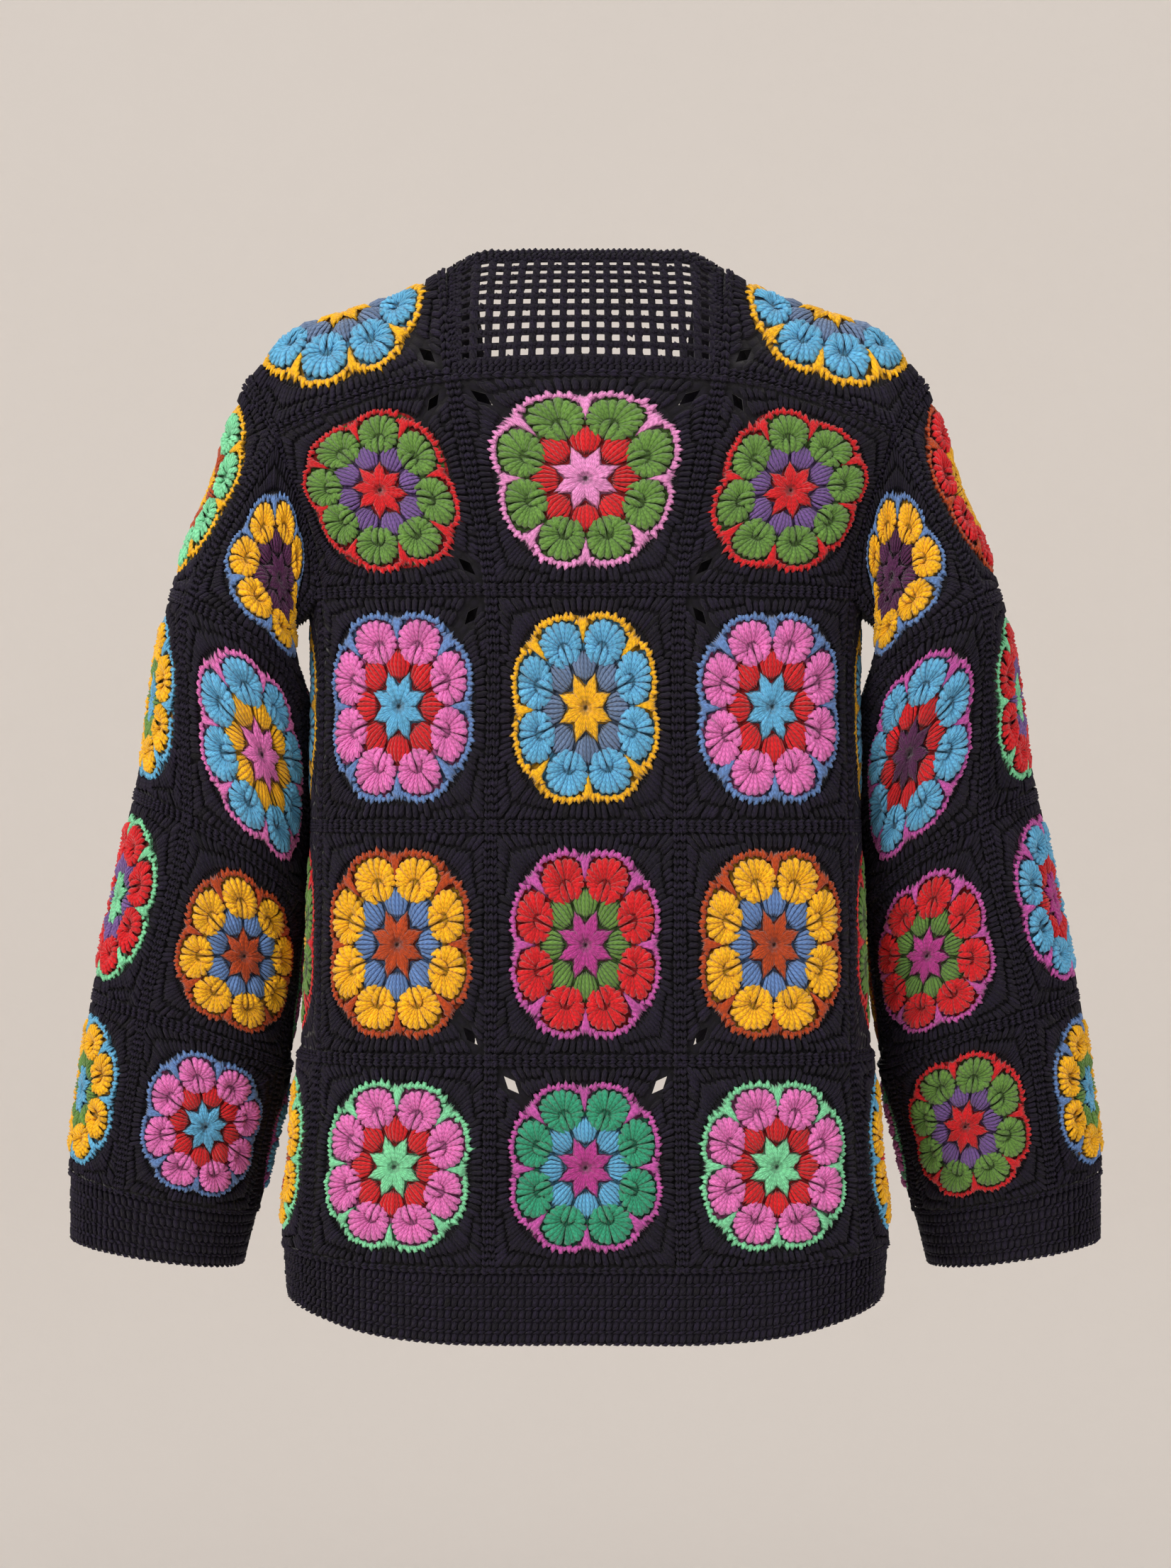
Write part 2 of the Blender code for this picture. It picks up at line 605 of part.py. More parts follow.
def net_lines(low, high, count, first, last):
    """Lines of a row of meshes: edge, then the near and far side of each hole, then edge."""
    size = (high - low) * (1.0 - first - last) / count
    start = low + (high - low) * first
    lines = [low]
    for k in range(count):
        middle = start + size * (k + 0.5)
        lines += [middle - size * NET_HOLE / 2, middle + size * NET_HOLE / 2]
    return lines + [high]


def neck_yoke():
    wall = Wall("neck_yoke", yoke, 1, NET_GAP)
    across = net_lines(-0.5, 0.5, NET_COLUMNS, NET_SIDE, NET_SIDE)
    down = net_lines(0.0, 1.0, NET_ROWS, NET_TOP, NET_BOTTOM)
    holes = [(2 * i + 1, 2 * j + 1) for i in range(NET_COLUMNS) for j in range(NET_ROWS)]
    lattice(wall, across, down, open_cells=holes)
    return wall


# ---- scene ---------------------------------------------------------------------------------------
def yarn_material(name):
    """The piece's own black yarn."""
    material = bpy.data.materials.new(name)
    material.use_nodes = True
    shader = material.node_tree.nodes["Principled BSDF"]
    shader.inputs["Base Color"].default_value = YARN_COLOUR
    shader.inputs["Roughness"].default_value = YARN_ROUGHNESS
    shader.inputs["Metallic"].default_value = 0.0
    return material


def add_object(name, places, faces):
    mesh = bpy.data.meshes.new(name)
    mesh.from_pydata([tuple(place) for place in places], [], [tuple(face) for face in faces])
    mesh.validate()
    mesh.shade_smooth()
    mesh.set_sharp_from_angle(angle=SHARP_ANGLE)
    mesh.materials.append(yarn_material(name + "_yarn"))
    thing = bpy.data.objects.new(name, mesh)
    bpy.context.scene.collection.objects.link(thing)
    return thing


def main():
    for thing in list(bpy.data.objects):
        bpy.data.objects.remove(thing)
    centre = [back_panel(), neck_yoke(), hem_band()]
    left = [side_panel(), front_panel(), shoulder_square(), upper_sleeve(), lower_sleeve(), cuff(),
            front_band_strip()]
    walls = centre + left
    for wall in walls:
        wall.solve()
    blend_seam_normals(walls, left)
    for wall in walls:
        wall.close()
        places = wall.build()
        add_object(wall.name, places, wall.faces)
        if wall in left:
            mirrored = places * [-1, 1, 1]
            add_object(wall.name.replace("_left", "_right"), mirrored, [face[::-1] for face in wall.faces])


main()
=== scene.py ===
import math

import bpy
import numpy as np
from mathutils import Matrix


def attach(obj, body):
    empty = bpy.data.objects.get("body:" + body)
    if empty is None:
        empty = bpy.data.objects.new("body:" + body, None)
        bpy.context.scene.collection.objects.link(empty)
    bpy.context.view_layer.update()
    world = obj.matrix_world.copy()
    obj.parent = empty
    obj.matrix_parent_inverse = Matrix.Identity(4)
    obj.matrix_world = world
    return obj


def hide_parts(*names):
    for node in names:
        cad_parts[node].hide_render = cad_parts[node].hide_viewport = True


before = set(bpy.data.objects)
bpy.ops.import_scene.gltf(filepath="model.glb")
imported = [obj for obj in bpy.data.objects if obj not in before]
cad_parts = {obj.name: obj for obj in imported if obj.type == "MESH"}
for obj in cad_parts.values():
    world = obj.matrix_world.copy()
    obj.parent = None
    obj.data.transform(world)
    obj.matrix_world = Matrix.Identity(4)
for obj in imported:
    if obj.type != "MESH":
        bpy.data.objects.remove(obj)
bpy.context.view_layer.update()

cm = 0.01
mm = 0.001

# The garment's cut. Surfaces are S(u, v) with one unit of u or v for each crocheted square.
cut = {
    "backRound": 4.0,          # roundness power of the body's sections behind, where 2 is an ellipse
    "frontRound": 2.4,         # and in front
    "sleeveRound": 2.2,
    "hemRows": 0.33,           # heights of the hem band and cuffs, in squares
    "cuffRows": 0.37,
    "bandWidth": 2.2 * cm,
    "topColumn": 11.2 * cm,    # width of a square at the front's top seam
    "ridgeAt": 0.5,            # the shoulder's ridge line between its two seams
    "underarmAt": 0.35,
    "underarmPush": 2.5 * cm,
    "bandAtShoulder": (7.0, 1.65, -0.35),
    "bandStandsOff": (-1.8, -0.5, 0.9),
    "yokeBulge": (0.0, 0.95, 0.5),
    "bodySections": (          # v, z, halfWidth, backY, frontY, column, sideRise, in cm
        (1.0, -21.9, 17.2, 9.7, -11.7, 11.6, 0.0),
        (2.0, -36.3, 17.1, 10.1, -11.6, 11.5, 0.0),
        (3.0, -50.5, 17.8, 10.8, -12.2, 11.5, 0.0),
        (4.0, -63.3, 18.7, 11.6, -13.0, 11.7, 0.8),
        (4.33, -67.6, 18.5, 11.6, -13.0, 11.7, 2.2),
    ),
    "topSeam": (               # u, x, y, z, from the middle of the back round to the front's edge
        (0.0, 0.0, 7.3, -8.2),
        (0.5, 8.3, 6.9, -8.5),
        (1.0, 13.9, 6.2, -9.7),
        (1.5, 19.2, 4.6, -11.8),
        (2.0, 19.8, 0.0, -12.6),
        (2.5, 19.2, -4.8, -12.0),
        (3.0, 13.8, -5.9, -9.4),
        (3.5, 8.6, -5.4, -6.6),
        (3.7, 6.5, -5.5, -6.5),
    ),
    "shoulderRidge": (         # a, x, y, z, from the neck to the sleeve
        (0.0, 8.8, 1.0, -1.3),
        (0.25, 12.0, 0.8, -3.1),
        (0.5, 15.3, 0.6, -3.9),
        (0.75, 18.6, 0.3, -5.4),
        (1.0, 21.4, 0.0, -8.3),
    ),
    "neckEdge": (              # u, x, y, z, from the middle of the back to the shoulder
        (0.0, 0.0, 2.9, -0.15),
        (0.3, 4.7, 2.6, -0.15),
        (0.42, 6.9, 2.0, -0.25),
        (0.5, 8.8, 1.0, -1.3),
    ),
    "sleeveSections": (        # v, x, y, z, halfOut, halfDeep, tilt, turn, drop, in cm and degrees
        (1.0, 21.85, 0.3, -23.3, 4.3, 8.8, 20.0, 20.0, 4.6),
        (2.0, 23.35, -1.4, -36.2, 5.45, 7.3, 20.0, 32.0, 3.2),
        (3.0, 25.3, -2.6, -48.7, 6.2, 6.5, 14.0, 23.0, 1.5),
        (4.0, 27.35, -4.3, -60.1, 5.85, 5.9, 12.0, 24.0, 0.0),
        (4.37, 27.85, -4.8, -63.9, 5.4, 5.3, 9.0, 24.0, 0.0),
    ),
}

# Yarn colours, as seen (sRGB).
yarns = {
    "black": "160f24", "yellow": "fcbb0e", "sky": "62b2de", "slate": "6a81a6", "red": "d8141f",
    "green": "66913f", "purple": "77569b", "pink": "e575bf", "palePink": "ea93cf",
    "orchid": "c956ae", "rust": "b8430f", "cornflower": "6489c4", "mint": "83dfa9", "sea": "2f9d78",
    "magenta": "bb3a92", "plum": "55214f",
}

# Each square's yarns: large petals, outline, small petals, star. Rows run from the top down.
greenRose = ("green", "red", "purple", "red")
pinkRose = ("pink", "cornflower", "red", "sky")
yellowRose = ("yellow", "rust", "cornflower", "rust")
mintRose = ("pink", "mint", "red", "mint")
redRose = ("red", "orchid", "green", "magenta")
duskRose = ("yellow", "cornflower", "plum", "plum")
skyRose = ("sky", "orchid", "red", "plum")
meadowRose = ("yellow", "sky", "green", "sky")
berryRose = ("red", "mint", "purple", "mint")
squareYarns = {
    "back": (                  # columns run from the garment's right to its left
        (greenRose, pinkRose, yellowRose, mintRose),
        (("green", "palePink", "red", "palePink"), ("sky", "yellow", "slate", "yellow"), redRose,
         ("sea", "orchid", "sky", "magenta")),
        (greenRose, pinkRose, yellowRose, mintRose),
    ),
    "side_left": ((("sky", "yellow", "purple", "yellow"), ("green", "red", "yellow", "red"),
                   ("yellow", "mint", "rust", "sky")),),
    "side_right": ((("sky", "yellow", "purple", "yellow"), ("green", "red", "yellow", "red"),
                    ("yellow", "sky", "red", "sky")),),
    "front_left": ((greenRose, meadowRose, redRose, mintRose),),
    "front_right": ((greenRose, skyRose, meadowRose, pinkRose),),
    "shoulder_left": ((("sky", "yellow", "slate", "yellow"),),),
    "shoulder_right": ((("sky", "yellow", "slate", "yellow"),),),
    "sleeve_left": (           # top, back, under and front columns
        (("mint", "yellow", "rust", "yellow"), meadowRose, berryRose, meadowRose),
        (duskRose, ("sky", "pink", "yellow", "pink"), yellowRose, pinkRose),
        (redRose, greenRose, mintRose, skyRose),
        (pinkRose, yellowRose, ("sea", "orchid", "sky", "magenta"), greenRose),
    ),
    "sleeve_right": (
        (("red", "rust", "yellow", "yellow"), berryRose, ("sky", "orchid", "red", "magenta"),
         ("yellow", "cornflower", "green", "sky")),
        (duskRose, skyRose, redRose, greenRose),
        (meadowRose, pinkRose, yellowRose, mintRose),
        (greenRose, mintRose, pinkRose, ("sea", "orchid", "sky", "magenta")),
    ),
}


def linear(name):
    # a yarn's colour as linear light: each sRGB channel, with its gamma taken off
    code = yarns[name]
    channel = np.array([int(code[i:i + 2], 16) for i in (0, 2, 4)]) / 255
    return np.where(channel <= 0.04045, channel / 12.92, ((channel + 0.055) / 1.055) ** 2.4)


def through(keys, points, at):
    # cubic through points[k] at keys[k]; each slope is its two spans' slopes, the shorter counting more
    keys = np.asarray(keys, float)
    points = np.asarray(points, float)
    at = np.asarray(at, float)
    if points.ndim == 2:
        points = np.repeat(points[:, None, :], len(at), axis=1)
    steps = np.diff(keys)[:, None, None]
    slopes = np.diff(points, axis=0) / steps
    tangents = np.concatenate([slopes[:1], slopes[:1], slopes[1:]])[:len(keys)].copy()
    share = steps[1:] / (steps[1:] + steps[:-1])
    tangents[1:-1] = slopes[:-1] * share + slopes[1:] * (1.0 - share)
    tangents[-1] = slopes[-1]
    span = np.clip(np.searchsorted(keys, at, side="right") - 1, 0, len(keys) - 2)
    each = np.arange(len(at))
    length = (keys[span + 1] - keys[span])[:, None]
    f = (at - keys[span])[:, None] / length
    start, end = points[span, each], points[span + 1, each]
    leave, arrive = tangents[span, each] * length, tangents[span + 1, each] * length
    return ((2 * f**3 - 3 * f**2 + 1) * start + (f**3 - 2 * f**2 + f) * leave
            + (3 * f**2 - 2 * f**3) * end + (f**3 - f**2) * arrive)


def oval(halfX, halfY, backRound, frontRound):
    # half of |x/halfX|^n + |y/halfY|^n = 1 from +Y round +X to -Y, with its running length
    angle = np.linspace(0.0, math.pi, 1441)
    roundness = np.where(angle < math.pi / 2, backRound, frontRound)
    x = halfX * np.abs(np.sin(angle)) ** (2.0 / roundness)
    y = halfY * np.sign(np.cos(angle)) * np.abs(np.cos(angle)) ** (2.0 / roundness)
    run = np.concatenate([[0.0], np.cumsum(np.hypot(np.diff(x), np.diff(y)))])
    return x, y, run


def bodySection(row, u):
    # a level oval; u columns are laid off along it from the middle of the back, and its sides rise
    _, z, halfWidth, backY, frontY, column, sideRise = row
    x, y, run = oval(halfWidth, (backY - frontY) / 2, cut["backRound"], cut["frontRound"])
    along = np.abs(u) * column
    px = np.interp(along, run, x)
    py = np.interp(along, run, y) + (backY + frontY) / 2
    pz = z + sideRise * (px / halfWidth) ** 4
    return np.stack([px * np.sign(u), py, pz], axis=1) * cm


def topSeam(u):
    # the seam above row 1, the same on both sides of the centre line
    seam = np.array(cut["topSeam"])
    points = through(seam[:, 0], seam[:, 1:], np.abs(u)) * cm
    points[:, 0] *= np.where(u < 0, -1.0, 1.0)
    return points


def body(u, v):
    # the body's fabric: a smooth curve down through the top seam and the sections
    rows = [topSeam(u)] + [bodySection(row, u) for row in cut["bodySections"]]
    keys = [0.0] + [row[0] for row in cut["bodySections"]]
    return through(keys, rows, v)


def shoulder(a, w):
    # the left shoulder square: a smooth curve from its back seam over the ridge to its front seam
    ridge = np.array(cut["shoulderRidge"])
    rows = [topSeam(0.5 + a), through(ridge[:, 0], ridge[:, 1:], a) * cm, topSeam(3.5 - a)]
    return through([0.0, cut["ridgeAt"], 1.0], rows, w)


def chords(curve, start, end, count, at):
    # the straight runs between count + 1 even points of a curve
    knots = np.linspace(start, end, count + 1)
    places = curve(knots)
    return np.stack([np.interp(at, knots, places[:, axis]) for axis in range(3)], axis=1)


def yoke(u, v):
    # blended from its four edges, each edge's share falling off across the net, with a bulging middle
    neck = np.array(cut["neckEdge"])

    def neckLine(at):
        return through(neck[:, 0], neck[:, 1:], at) * cm

    def shoulderEdge(w):
        return shoulder(np.zeros_like(w), w)

    half = np.abs(u)
    zero, end = np.zeros(1), np.full(1, 0.5)
    top = neckLine(half)
    low = chords(topSeam, 0.0, 0.5, 2, half)
    side = chords(shoulderEdge, 0.0, cut["ridgeAt"], 2, cut["ridgeAt"] * (1.0 - v))
    fall = v[:, None]
    bulge = np.array(cut["yokeBulge"]) * cm * np.sin(math.pi * v)[:, None]
    middle = neckLine(zero) * (1 - fall) + topSeam(zero) * fall + bulge
    share = np.stack([half / 0.5, (half / 0.5) ** 2, (half / 0.5) ** 2], axis=1)
    cornersTop = neckLine(zero) * (1 - share) + neckLine(end) * share
    cornersLow = topSeam(zero) * (1 - share) + topSeam(end) * share
    points = (middle * (1 - share) + side * share
              + (top - cornersTop) * (1 - fall) + (low - cornersLow) * fall)
    points[:, 0] *= np.where(u < 0, -1.0, 1.0)
    return points


def armhole(u):
    # the left armhole: over the shoulder from the front, down the back, under the arm and up the front
    u = np.mod(u, 4.0)
    over = shoulder(np.ones_like(u), np.clip(1.0 - u, 0, 1))
    backEdge = body(np.full_like(u, 1.5), np.clip(u - 1.0, 0, 1))
    under = body(np.clip(u - 0.5, 1.5, 2.5), np.ones_like(u))
    frontEdge = body(np.full_like(u, 2.5), np.clip(4.0 - u, 0, 1))
    part = np.clip(u.astype(int), 0, 3)[:, None]
    return np.select([part == 0, part == 1, part == 2], [over, backEdge, under], frontEdge)


def innerShare(u):
    # 1 next to the body, falling to 0 on the sleeve's outer side
    return ((1.0 - np.cos((u - 0.5) * math.pi / 2)) / 2) ** 3


def sleeveSection(row, u):
    # a tilted oval, u laid off evenly along it and turned towards the back, lower next to the body
    _, cx, cy, cz, halfOut, halfDeep, tilt, turn, drop = row
    x, y, run = oval(halfDeep, halfOut, cut["sleeveRound"], cut["sleeveRound"])
    share = np.mod((u - 0.5) / 4.0 + turn / 360.0, 1.0)
    along = np.where(share <= 0.5, share, 1.0 - share) * 2.0 * run[-1]
    deep = np.interp(along, run, x) * np.where(share <= 0.5, 1.0, -1.0)
    out = np.interp(along, run, y)
    lean = math.radians(tilt)
    low = drop * innerShare(u + turn / 90.0)
    return np.stack([cx + out * math.cos(lean), cy + deep, cz + out * math.sin(lean) - low], axis=1) * cm


def sleeve(u, v):
    # the left sleeve: a smooth curve down from the armhole through the opened underarm and the sections
    first = armhole(u)
    rings = [sleeveSection(row, u) for row in cut["sleeveSections"]]
    opened = first * (1 - cut["underarmAt"]) + rings[0] * cut["underarmAt"]
    opened[:, 0] += cut["underarmPush"] * innerShare(u)
    keys = [0.0, cut["underarmAt"]] + [row[0] for row in cut["sleeveSections"]]
    return through(keys, [first, opened] + rings, v)


def frontBand(s, t):
    # ruled between the squares' edge (s 0) and the free edge (s 1); t runs from the yoke to the hem
    low = np.clip(t, 0, None)
    high = np.clip(t, -1, 0)
    edgeLow = body(np.full_like(t, 3.5), low)
    edgeTop = shoulder(np.zeros_like(t), 1.0 + high * (1.0 - cut["ridgeAt"]))
    edge = np.where((t >= 0)[:, None], edgeLow, edgeTop)
    columns = through([0.0] + [row[0] for row in cut["bodySections"]],
                      [[cut["topColumn"]]] + [[row[5] * cm] for row in cut["bodySections"]], low)[:, 0]
    freeLow = body(3.5 + cut["bandWidth"] / columns, low)
    freeSeam = body(np.full(1, 3.5 + cut["bandWidth"] / cut["topColumn"]), np.zeros(1))
    ridge, seam = shoulder(np.zeros(2), np.array([cut["ridgeAt"], 1.0]))
    lift = through([-1.0, -0.5, 0.0], [np.array(cut["bandAtShoulder"]) * cm - ridge,
                                       np.array(cut["bandStandsOff"]) * cm, freeSeam[0] - seam], high)
    free = np.where((t >= 0)[:, None], freeLow, edgeTop + lift)
    s = s[:, None]
    return edge * (1 - s) + free * s


# Main creases, listed one by one: from (u, v) to (u, v), width in squares, depth in mm (+ stands out).
bodyCreases = (
    (-1.45, 0.75, -0.55, 1.75, 0.16, -1.8),
    (1.45, 0.75, 0.62, 1.6, 0.15, -1.6),
    (-0.62, 3.3, -0.52, 4.33, 0.20, 2.2),
    (0.1, 3.5, 0.02, 4.33, 0.22, -2.0),
    (0.72, 3.4, 0.66, 4.33, 0.18, 1.8),
    (1.3, 3.1, 1.36, 4.33, 0.20, -2.0),
    (-1.2, 3.2, -1.3, 4.33, 0.20, -1.8),
    (-1.72, 1.9, -1.5, 3.1, 0.14, -1.6),
    (1.75, 2.0, 1.55, 3.2, 0.15, -1.8),
    (2.6, 1.0, 3.2, 1.9, 0.17, -2.0),
    (-2.6, 1.1, -3.1, 1.8, 0.16, -1.8),
    (3.1, 3.2, 3.0, 4.33, 0.20, 2.0),
    (-3.0, 3.1, -3.1, 4.33, 0.20, 2.0),
    (1.75, 1.1, 1.80, 2.4, 0.28, 2.2),
    (-1.75, 1.1, -1.80, 2.4, 0.28, 2.2),
)
sleeveCreases = (
    (1.0, 0.8, 1.75, 1.25, 0.14, -2.0),
    (0.9, 1.35, 1.9, 1.75, 0.15, -2.2),
    (1.1, 2.0, 2.1, 2.3, 0.15, -1.8),
    (0.2, 1.7, 0.9, 2.05, 0.14, -1.4),
    (2.9, 1.4, 3.7, 1.8, 0.16, -2.0),
    (2.8, 2.1, 3.6, 2.35, 0.15, -2.2),
    (1.0, 3.2, 1.8, 3.5, 0.18, -1.4),
    (3.1, 3.1, 3.8, 3.4, 0.17, -1.6),
    (2.30, 0.75, 2.15, 2.3, 0.40, 2.8),
    (2.30, 0.80, 2.24, 1.3, 0.28, 1.6),
)


def creaseHeight(creases, u, v):
    # the sum over creases of depth times exp(-(distance from its line / width)^2)
    height = np.zeros_like(u)
    for u0, v0, u1, v1, width, depth in creases:
        du, dv = u1 - u0, v1 - v0
        along = np.clip(((u - u0) * du + (v - v0) * dv) / (du * du + dv * dv), 0, 1)
        away = np.hypot(u - u0 - along * du, v - v0 - along * dv)
        height += depth * mm * np.exp(-(away / width) ** 2)
    return height


def onCloth(cloth, u, v, height):
    # the cloth's surface at (u, v), moved out along its normal by height and the creases there
    surface, outward = cloth["surface"], cloth["outward"]
    step = 2e-3
    across = surface(u + step, v) - surface(u - step, v)
    down = surface(u, v + step) - surface(u, v - step)
    normal = np.cross(across, down) * outward
    normal /= np.linalg.norm(normal, axis=1)[:, None]
    places = surface(u, v) + normal * (height + creaseHeight(cloth["creases"], u, v))[:, None]
    if cloth["mirrored"]:
        places[:, 0] *= -1.0
    return places


grainSides = 4


def asPath(x, y, height):
    # paths of points (grain, point, xyz) from places in metres and heights in mm
    points = np.stack(np.broadcast_arrays(x, y, np.multiply(height, mm)), axis=-1)
    return points.reshape(-1, np.shape(height)[-1], 3)


def grains(path, yarn, random):
    # closed grains of yarn along paths: at each inner point an oval section of the yarn's width across and
    # thickness high, in mm, a tip at both ends, and a shade drawn for each grain
    count, steps = path.shape[:2]
    sides = grainSides
    inner = path[:, 1:-1]
    ahead = path[:, 2:] - path[:, :-2]
    ahead = ahead / np.linalg.norm(ahead, axis=2, keepdims=True)
    side = np.stack([-ahead[..., 1], ahead[..., 0], np.zeros_like(ahead[..., 0])], axis=2)
    side /= np.linalg.norm(side, axis=2, keepdims=True)
    up = np.cross(ahead, side)
    angle = math.pi / 2 + 2 * math.pi * np.arange(sides) / sides
    halfWide, halfThick = (
        np.broadcast_to(np.multiply(yarn[key], mm / 2), (count, steps - 2))[:, :, None, None]
        for key in ("width", "thick"))
    rings = (inner[:, :, None] + side[:, :, None] * np.cos(angle)[:, None] * halfWide
             + up[:, :, None] * np.sin(angle)[:, None] * halfThick)
    points = np.concatenate([path[:, :1], rings.reshape(count, -1, 3), path[:, -1:]], axis=1)
    each = points.shape[1]
    here = 1 + np.arange(steps - 3)[:, None] * sides + np.arange(sides)
    after = 1 + np.arange(steps - 3)[:, None] * sides + (np.arange(sides) + 1) % sides
    first, firstAfter = 1 + np.arange(sides), 1 + (np.arange(sides) + 1) % sides
    last, lastAfter = first + (steps - 3) * sides, firstAfter + (steps - 3) * sides
    faces = [np.stack([np.zeros(sides, int), firstAfter, first], 1),
             np.stack([np.full(sides, each - 1), last, lastAfter], 1)]
    if steps > 3:
        faces += [np.stack([here, after, after + sides], 2).reshape(-1, 3),
                  np.stack([here, after + sides, here + sides], 2).reshape(-1, 3)]
    faces = np.concatenate(faces)
    lengths = np.cumsum(np.linalg.norm(np.diff(path, axis=1), axis=2), axis=1)
    along = np.concatenate([np.zeros((count, 1)), np.repeat(lengths[:, :-1], sides, 1), lengths[:, -1:]], 1)
    around = np.concatenate([[0.0], np.tile(np.arange(sides) / sides, steps - 2), [0.0]])
    uv = np.stack([along / cm, np.broadcast_to(around, along.shape)], axis=2)
    return {
        "points": points.reshape(-1, 3),
        "triangles": (faces[None] + (np.arange(count) * each)[:, None, None]).reshape(-1, 3),
        "uv": uv.reshape(-1, 2),
        "ring": np.full(count * each, yarn.get("ring", 0)),
        "shade": np.repeat(random.normal(*yarn["shade"], count), each),
    }


def joined(parts):
    # several batches of grains as one, with their triangles counted on
    offsets = np.cumsum([0] + [len(part["points"]) for part in parts[:-1]])
    whole = {key: np.concatenate([part[key] for part in parts]) for key in ("points", "uv", "ring", "shade")}
    whole["triangles"] = np.concatenate([part["triangles"] + offset for part, offset in zip(parts, offsets)])
    return whole


# One square and its flower. In the rounds below, radii are shares of the flower from its centre outwards,
# turns are in degrees, heights, widths and thicknesses in mm, and ring says which of a square's yarns a
# round takes. What is called uneven is the spread of a random share of hand work.
square = {
    "wide": 11.6 * cm, "tall": 14.3 * cm,
    "flowerWide": 0.81,        # the flower's share of its square
    "flowerTall": 0.82,
    "squared": 2.7,            # how the flower nears its square's shape, where 2 is an ellipse
    "gapMiddle": 0.78,         # the corner gaps, on the square's diagonal
    "gapLong": 0.08, "gapHalfWidth": 0.035,
    "gapClear": 0.9,           # share of a gap's half width that is kept clear of posts
    "pressed": 0.45,           # relief left under the arm
    "unevenTurn": 1.2,
}
petalCount = 8
petalPitch = 360.0 / petalCount
cornerTurns = ((1, 1), (-1, 1), (-1, -1), (1, -1))


def squared(angle):
    # the radius of |x|^n + |y|^n = 1 at an angle
    power = square["squared"]
    return (np.abs(np.cos(angle)) ** power + np.abs(np.sin(angle)) ** power) ** (-1 / power)


def fromFlower(a, b):
    # places on the square, in metres, of points given in flower radii across and down; the further out,
    # the nearer to the square's shape: radius r becomes r * squared(angle)^r
    radius = np.hypot(a, b)
    grown = squared(np.arctan2(b, a)) ** radius
    return (a * grown * square["flowerWide"] * square["wide"] / 2,
            b * grown * square["flowerTall"] * square["tall"] / 2)


def petalAngles(pitches):
    # the angles of the eight petals, turned on by a number of pitches
    return ((pitches + np.arange(petalCount)) * petalPitch)[:, None, None]


def polarPath(radius, degrees, height):
    # paths of points at radius, angle and height
    angle = np.radians(degrees)
    return asPath(*fromFlower(radius * np.cos(angle), radius * np.sin(angle)), height)


def petalPath(middle, along, aside, height):
    # paths in petals whose middles lie at the given angles: along the radius and aside from it
    angle = np.radians(middle)
    return asPath(*fromFlower(along * np.cos(angle) - aside * np.sin(angle),
                              along * np.sin(angle) + aside * np.cos(angle)), height)


star = {
    "strands": 40, "start": 0.012,
    "reachAt": (0.0, 9.0, 18.0),               # turns from the middle of a point
    "reach": (0.39, 0.335, 0.275),             # and the radii reached there
    "steps": (0.0, 0.35, 0.75, 1.0), "lean": 0.45, "heights": (1.7, 2.6, 2.9, 1.0),
    "width": (1.7, 3.0), "thick": (1.8, 2.3), "ring": 3, "shade": (1.0, 0.07), "unevenReach": 0.008,
    "unevenHeight": 0.15,
}


def starStrands(random):
    # strands that run out from the centre; five lean together into each of eight points
    count = star["strands"]
    angle = 360.0 * (np.arange(count) + 0.5) / count
    aside = np.mod(angle, petalPitch) - petalPitch / 2
    reach = np.interp(np.abs(aside), star["reachAt"], star["reach"])
    reach = reach + random.normal(0, star["unevenReach"], count)
    t = np.array(star["steps"])
    radius = star["start"] + (reach[:, None] - star["start"]) * t
    degrees = angle[:, None] - aside[:, None] * star["lean"] * t**3
    height = star["heights"] + random.normal(0, star["unevenHeight"], (count, 1))
    return grains(polarPath(radius, degrees, height), star, random)


smallPetal = {
    "strands": (-2.5, -1.5, -0.5, 0.5, 1.5, 2.5), "along": (0.265, 0.32, 0.43, 0.54, 0.60),
    "ends": (-0.6, -0.2, 0.0, 0.6, 1.0),       # how each point moves as a strand grows longer
    "longer": 0.005, "rounded": 0.0085, "spread": (0.016, 0.036, 0.051, 0.044, 0.020),
    "heights": (0.6, 2.9, 4.4, 3.4, 0.8), "domed": (0.054, 0.216, 0.27, 0.162, 0.0),
    "width": (2.1, 2.8, 2.3), "thick": (2.1, 2.6, 2.2), "ring": 2, "shade": (1.0, 0.08),
    "unevenReach": 0.006, "unevenHeight": 0.15,
}


def smallPetals(random):
    # eight round puffs of six strands; those further aside are shorter and lie lower
    strand = np.array(smallPetal["strands"])[:, None]
    each = (petalCount, len(strand), 1)
    longer = smallPetal["longer"] - smallPetal["rounded"] * strand**2
    height = smallPetal["heights"] - strand**2 * smallPetal["domed"]
    height = height + random.normal(0, smallPetal["unevenHeight"], each)
    along = smallPetal["along"] + longer * smallPetal["ends"]
    along = along + random.normal(0, smallPetal["unevenReach"], each)
    return grains(petalPath(petalAngles(0), along, strand * smallPetal["spread"], height), smallPetal, random)


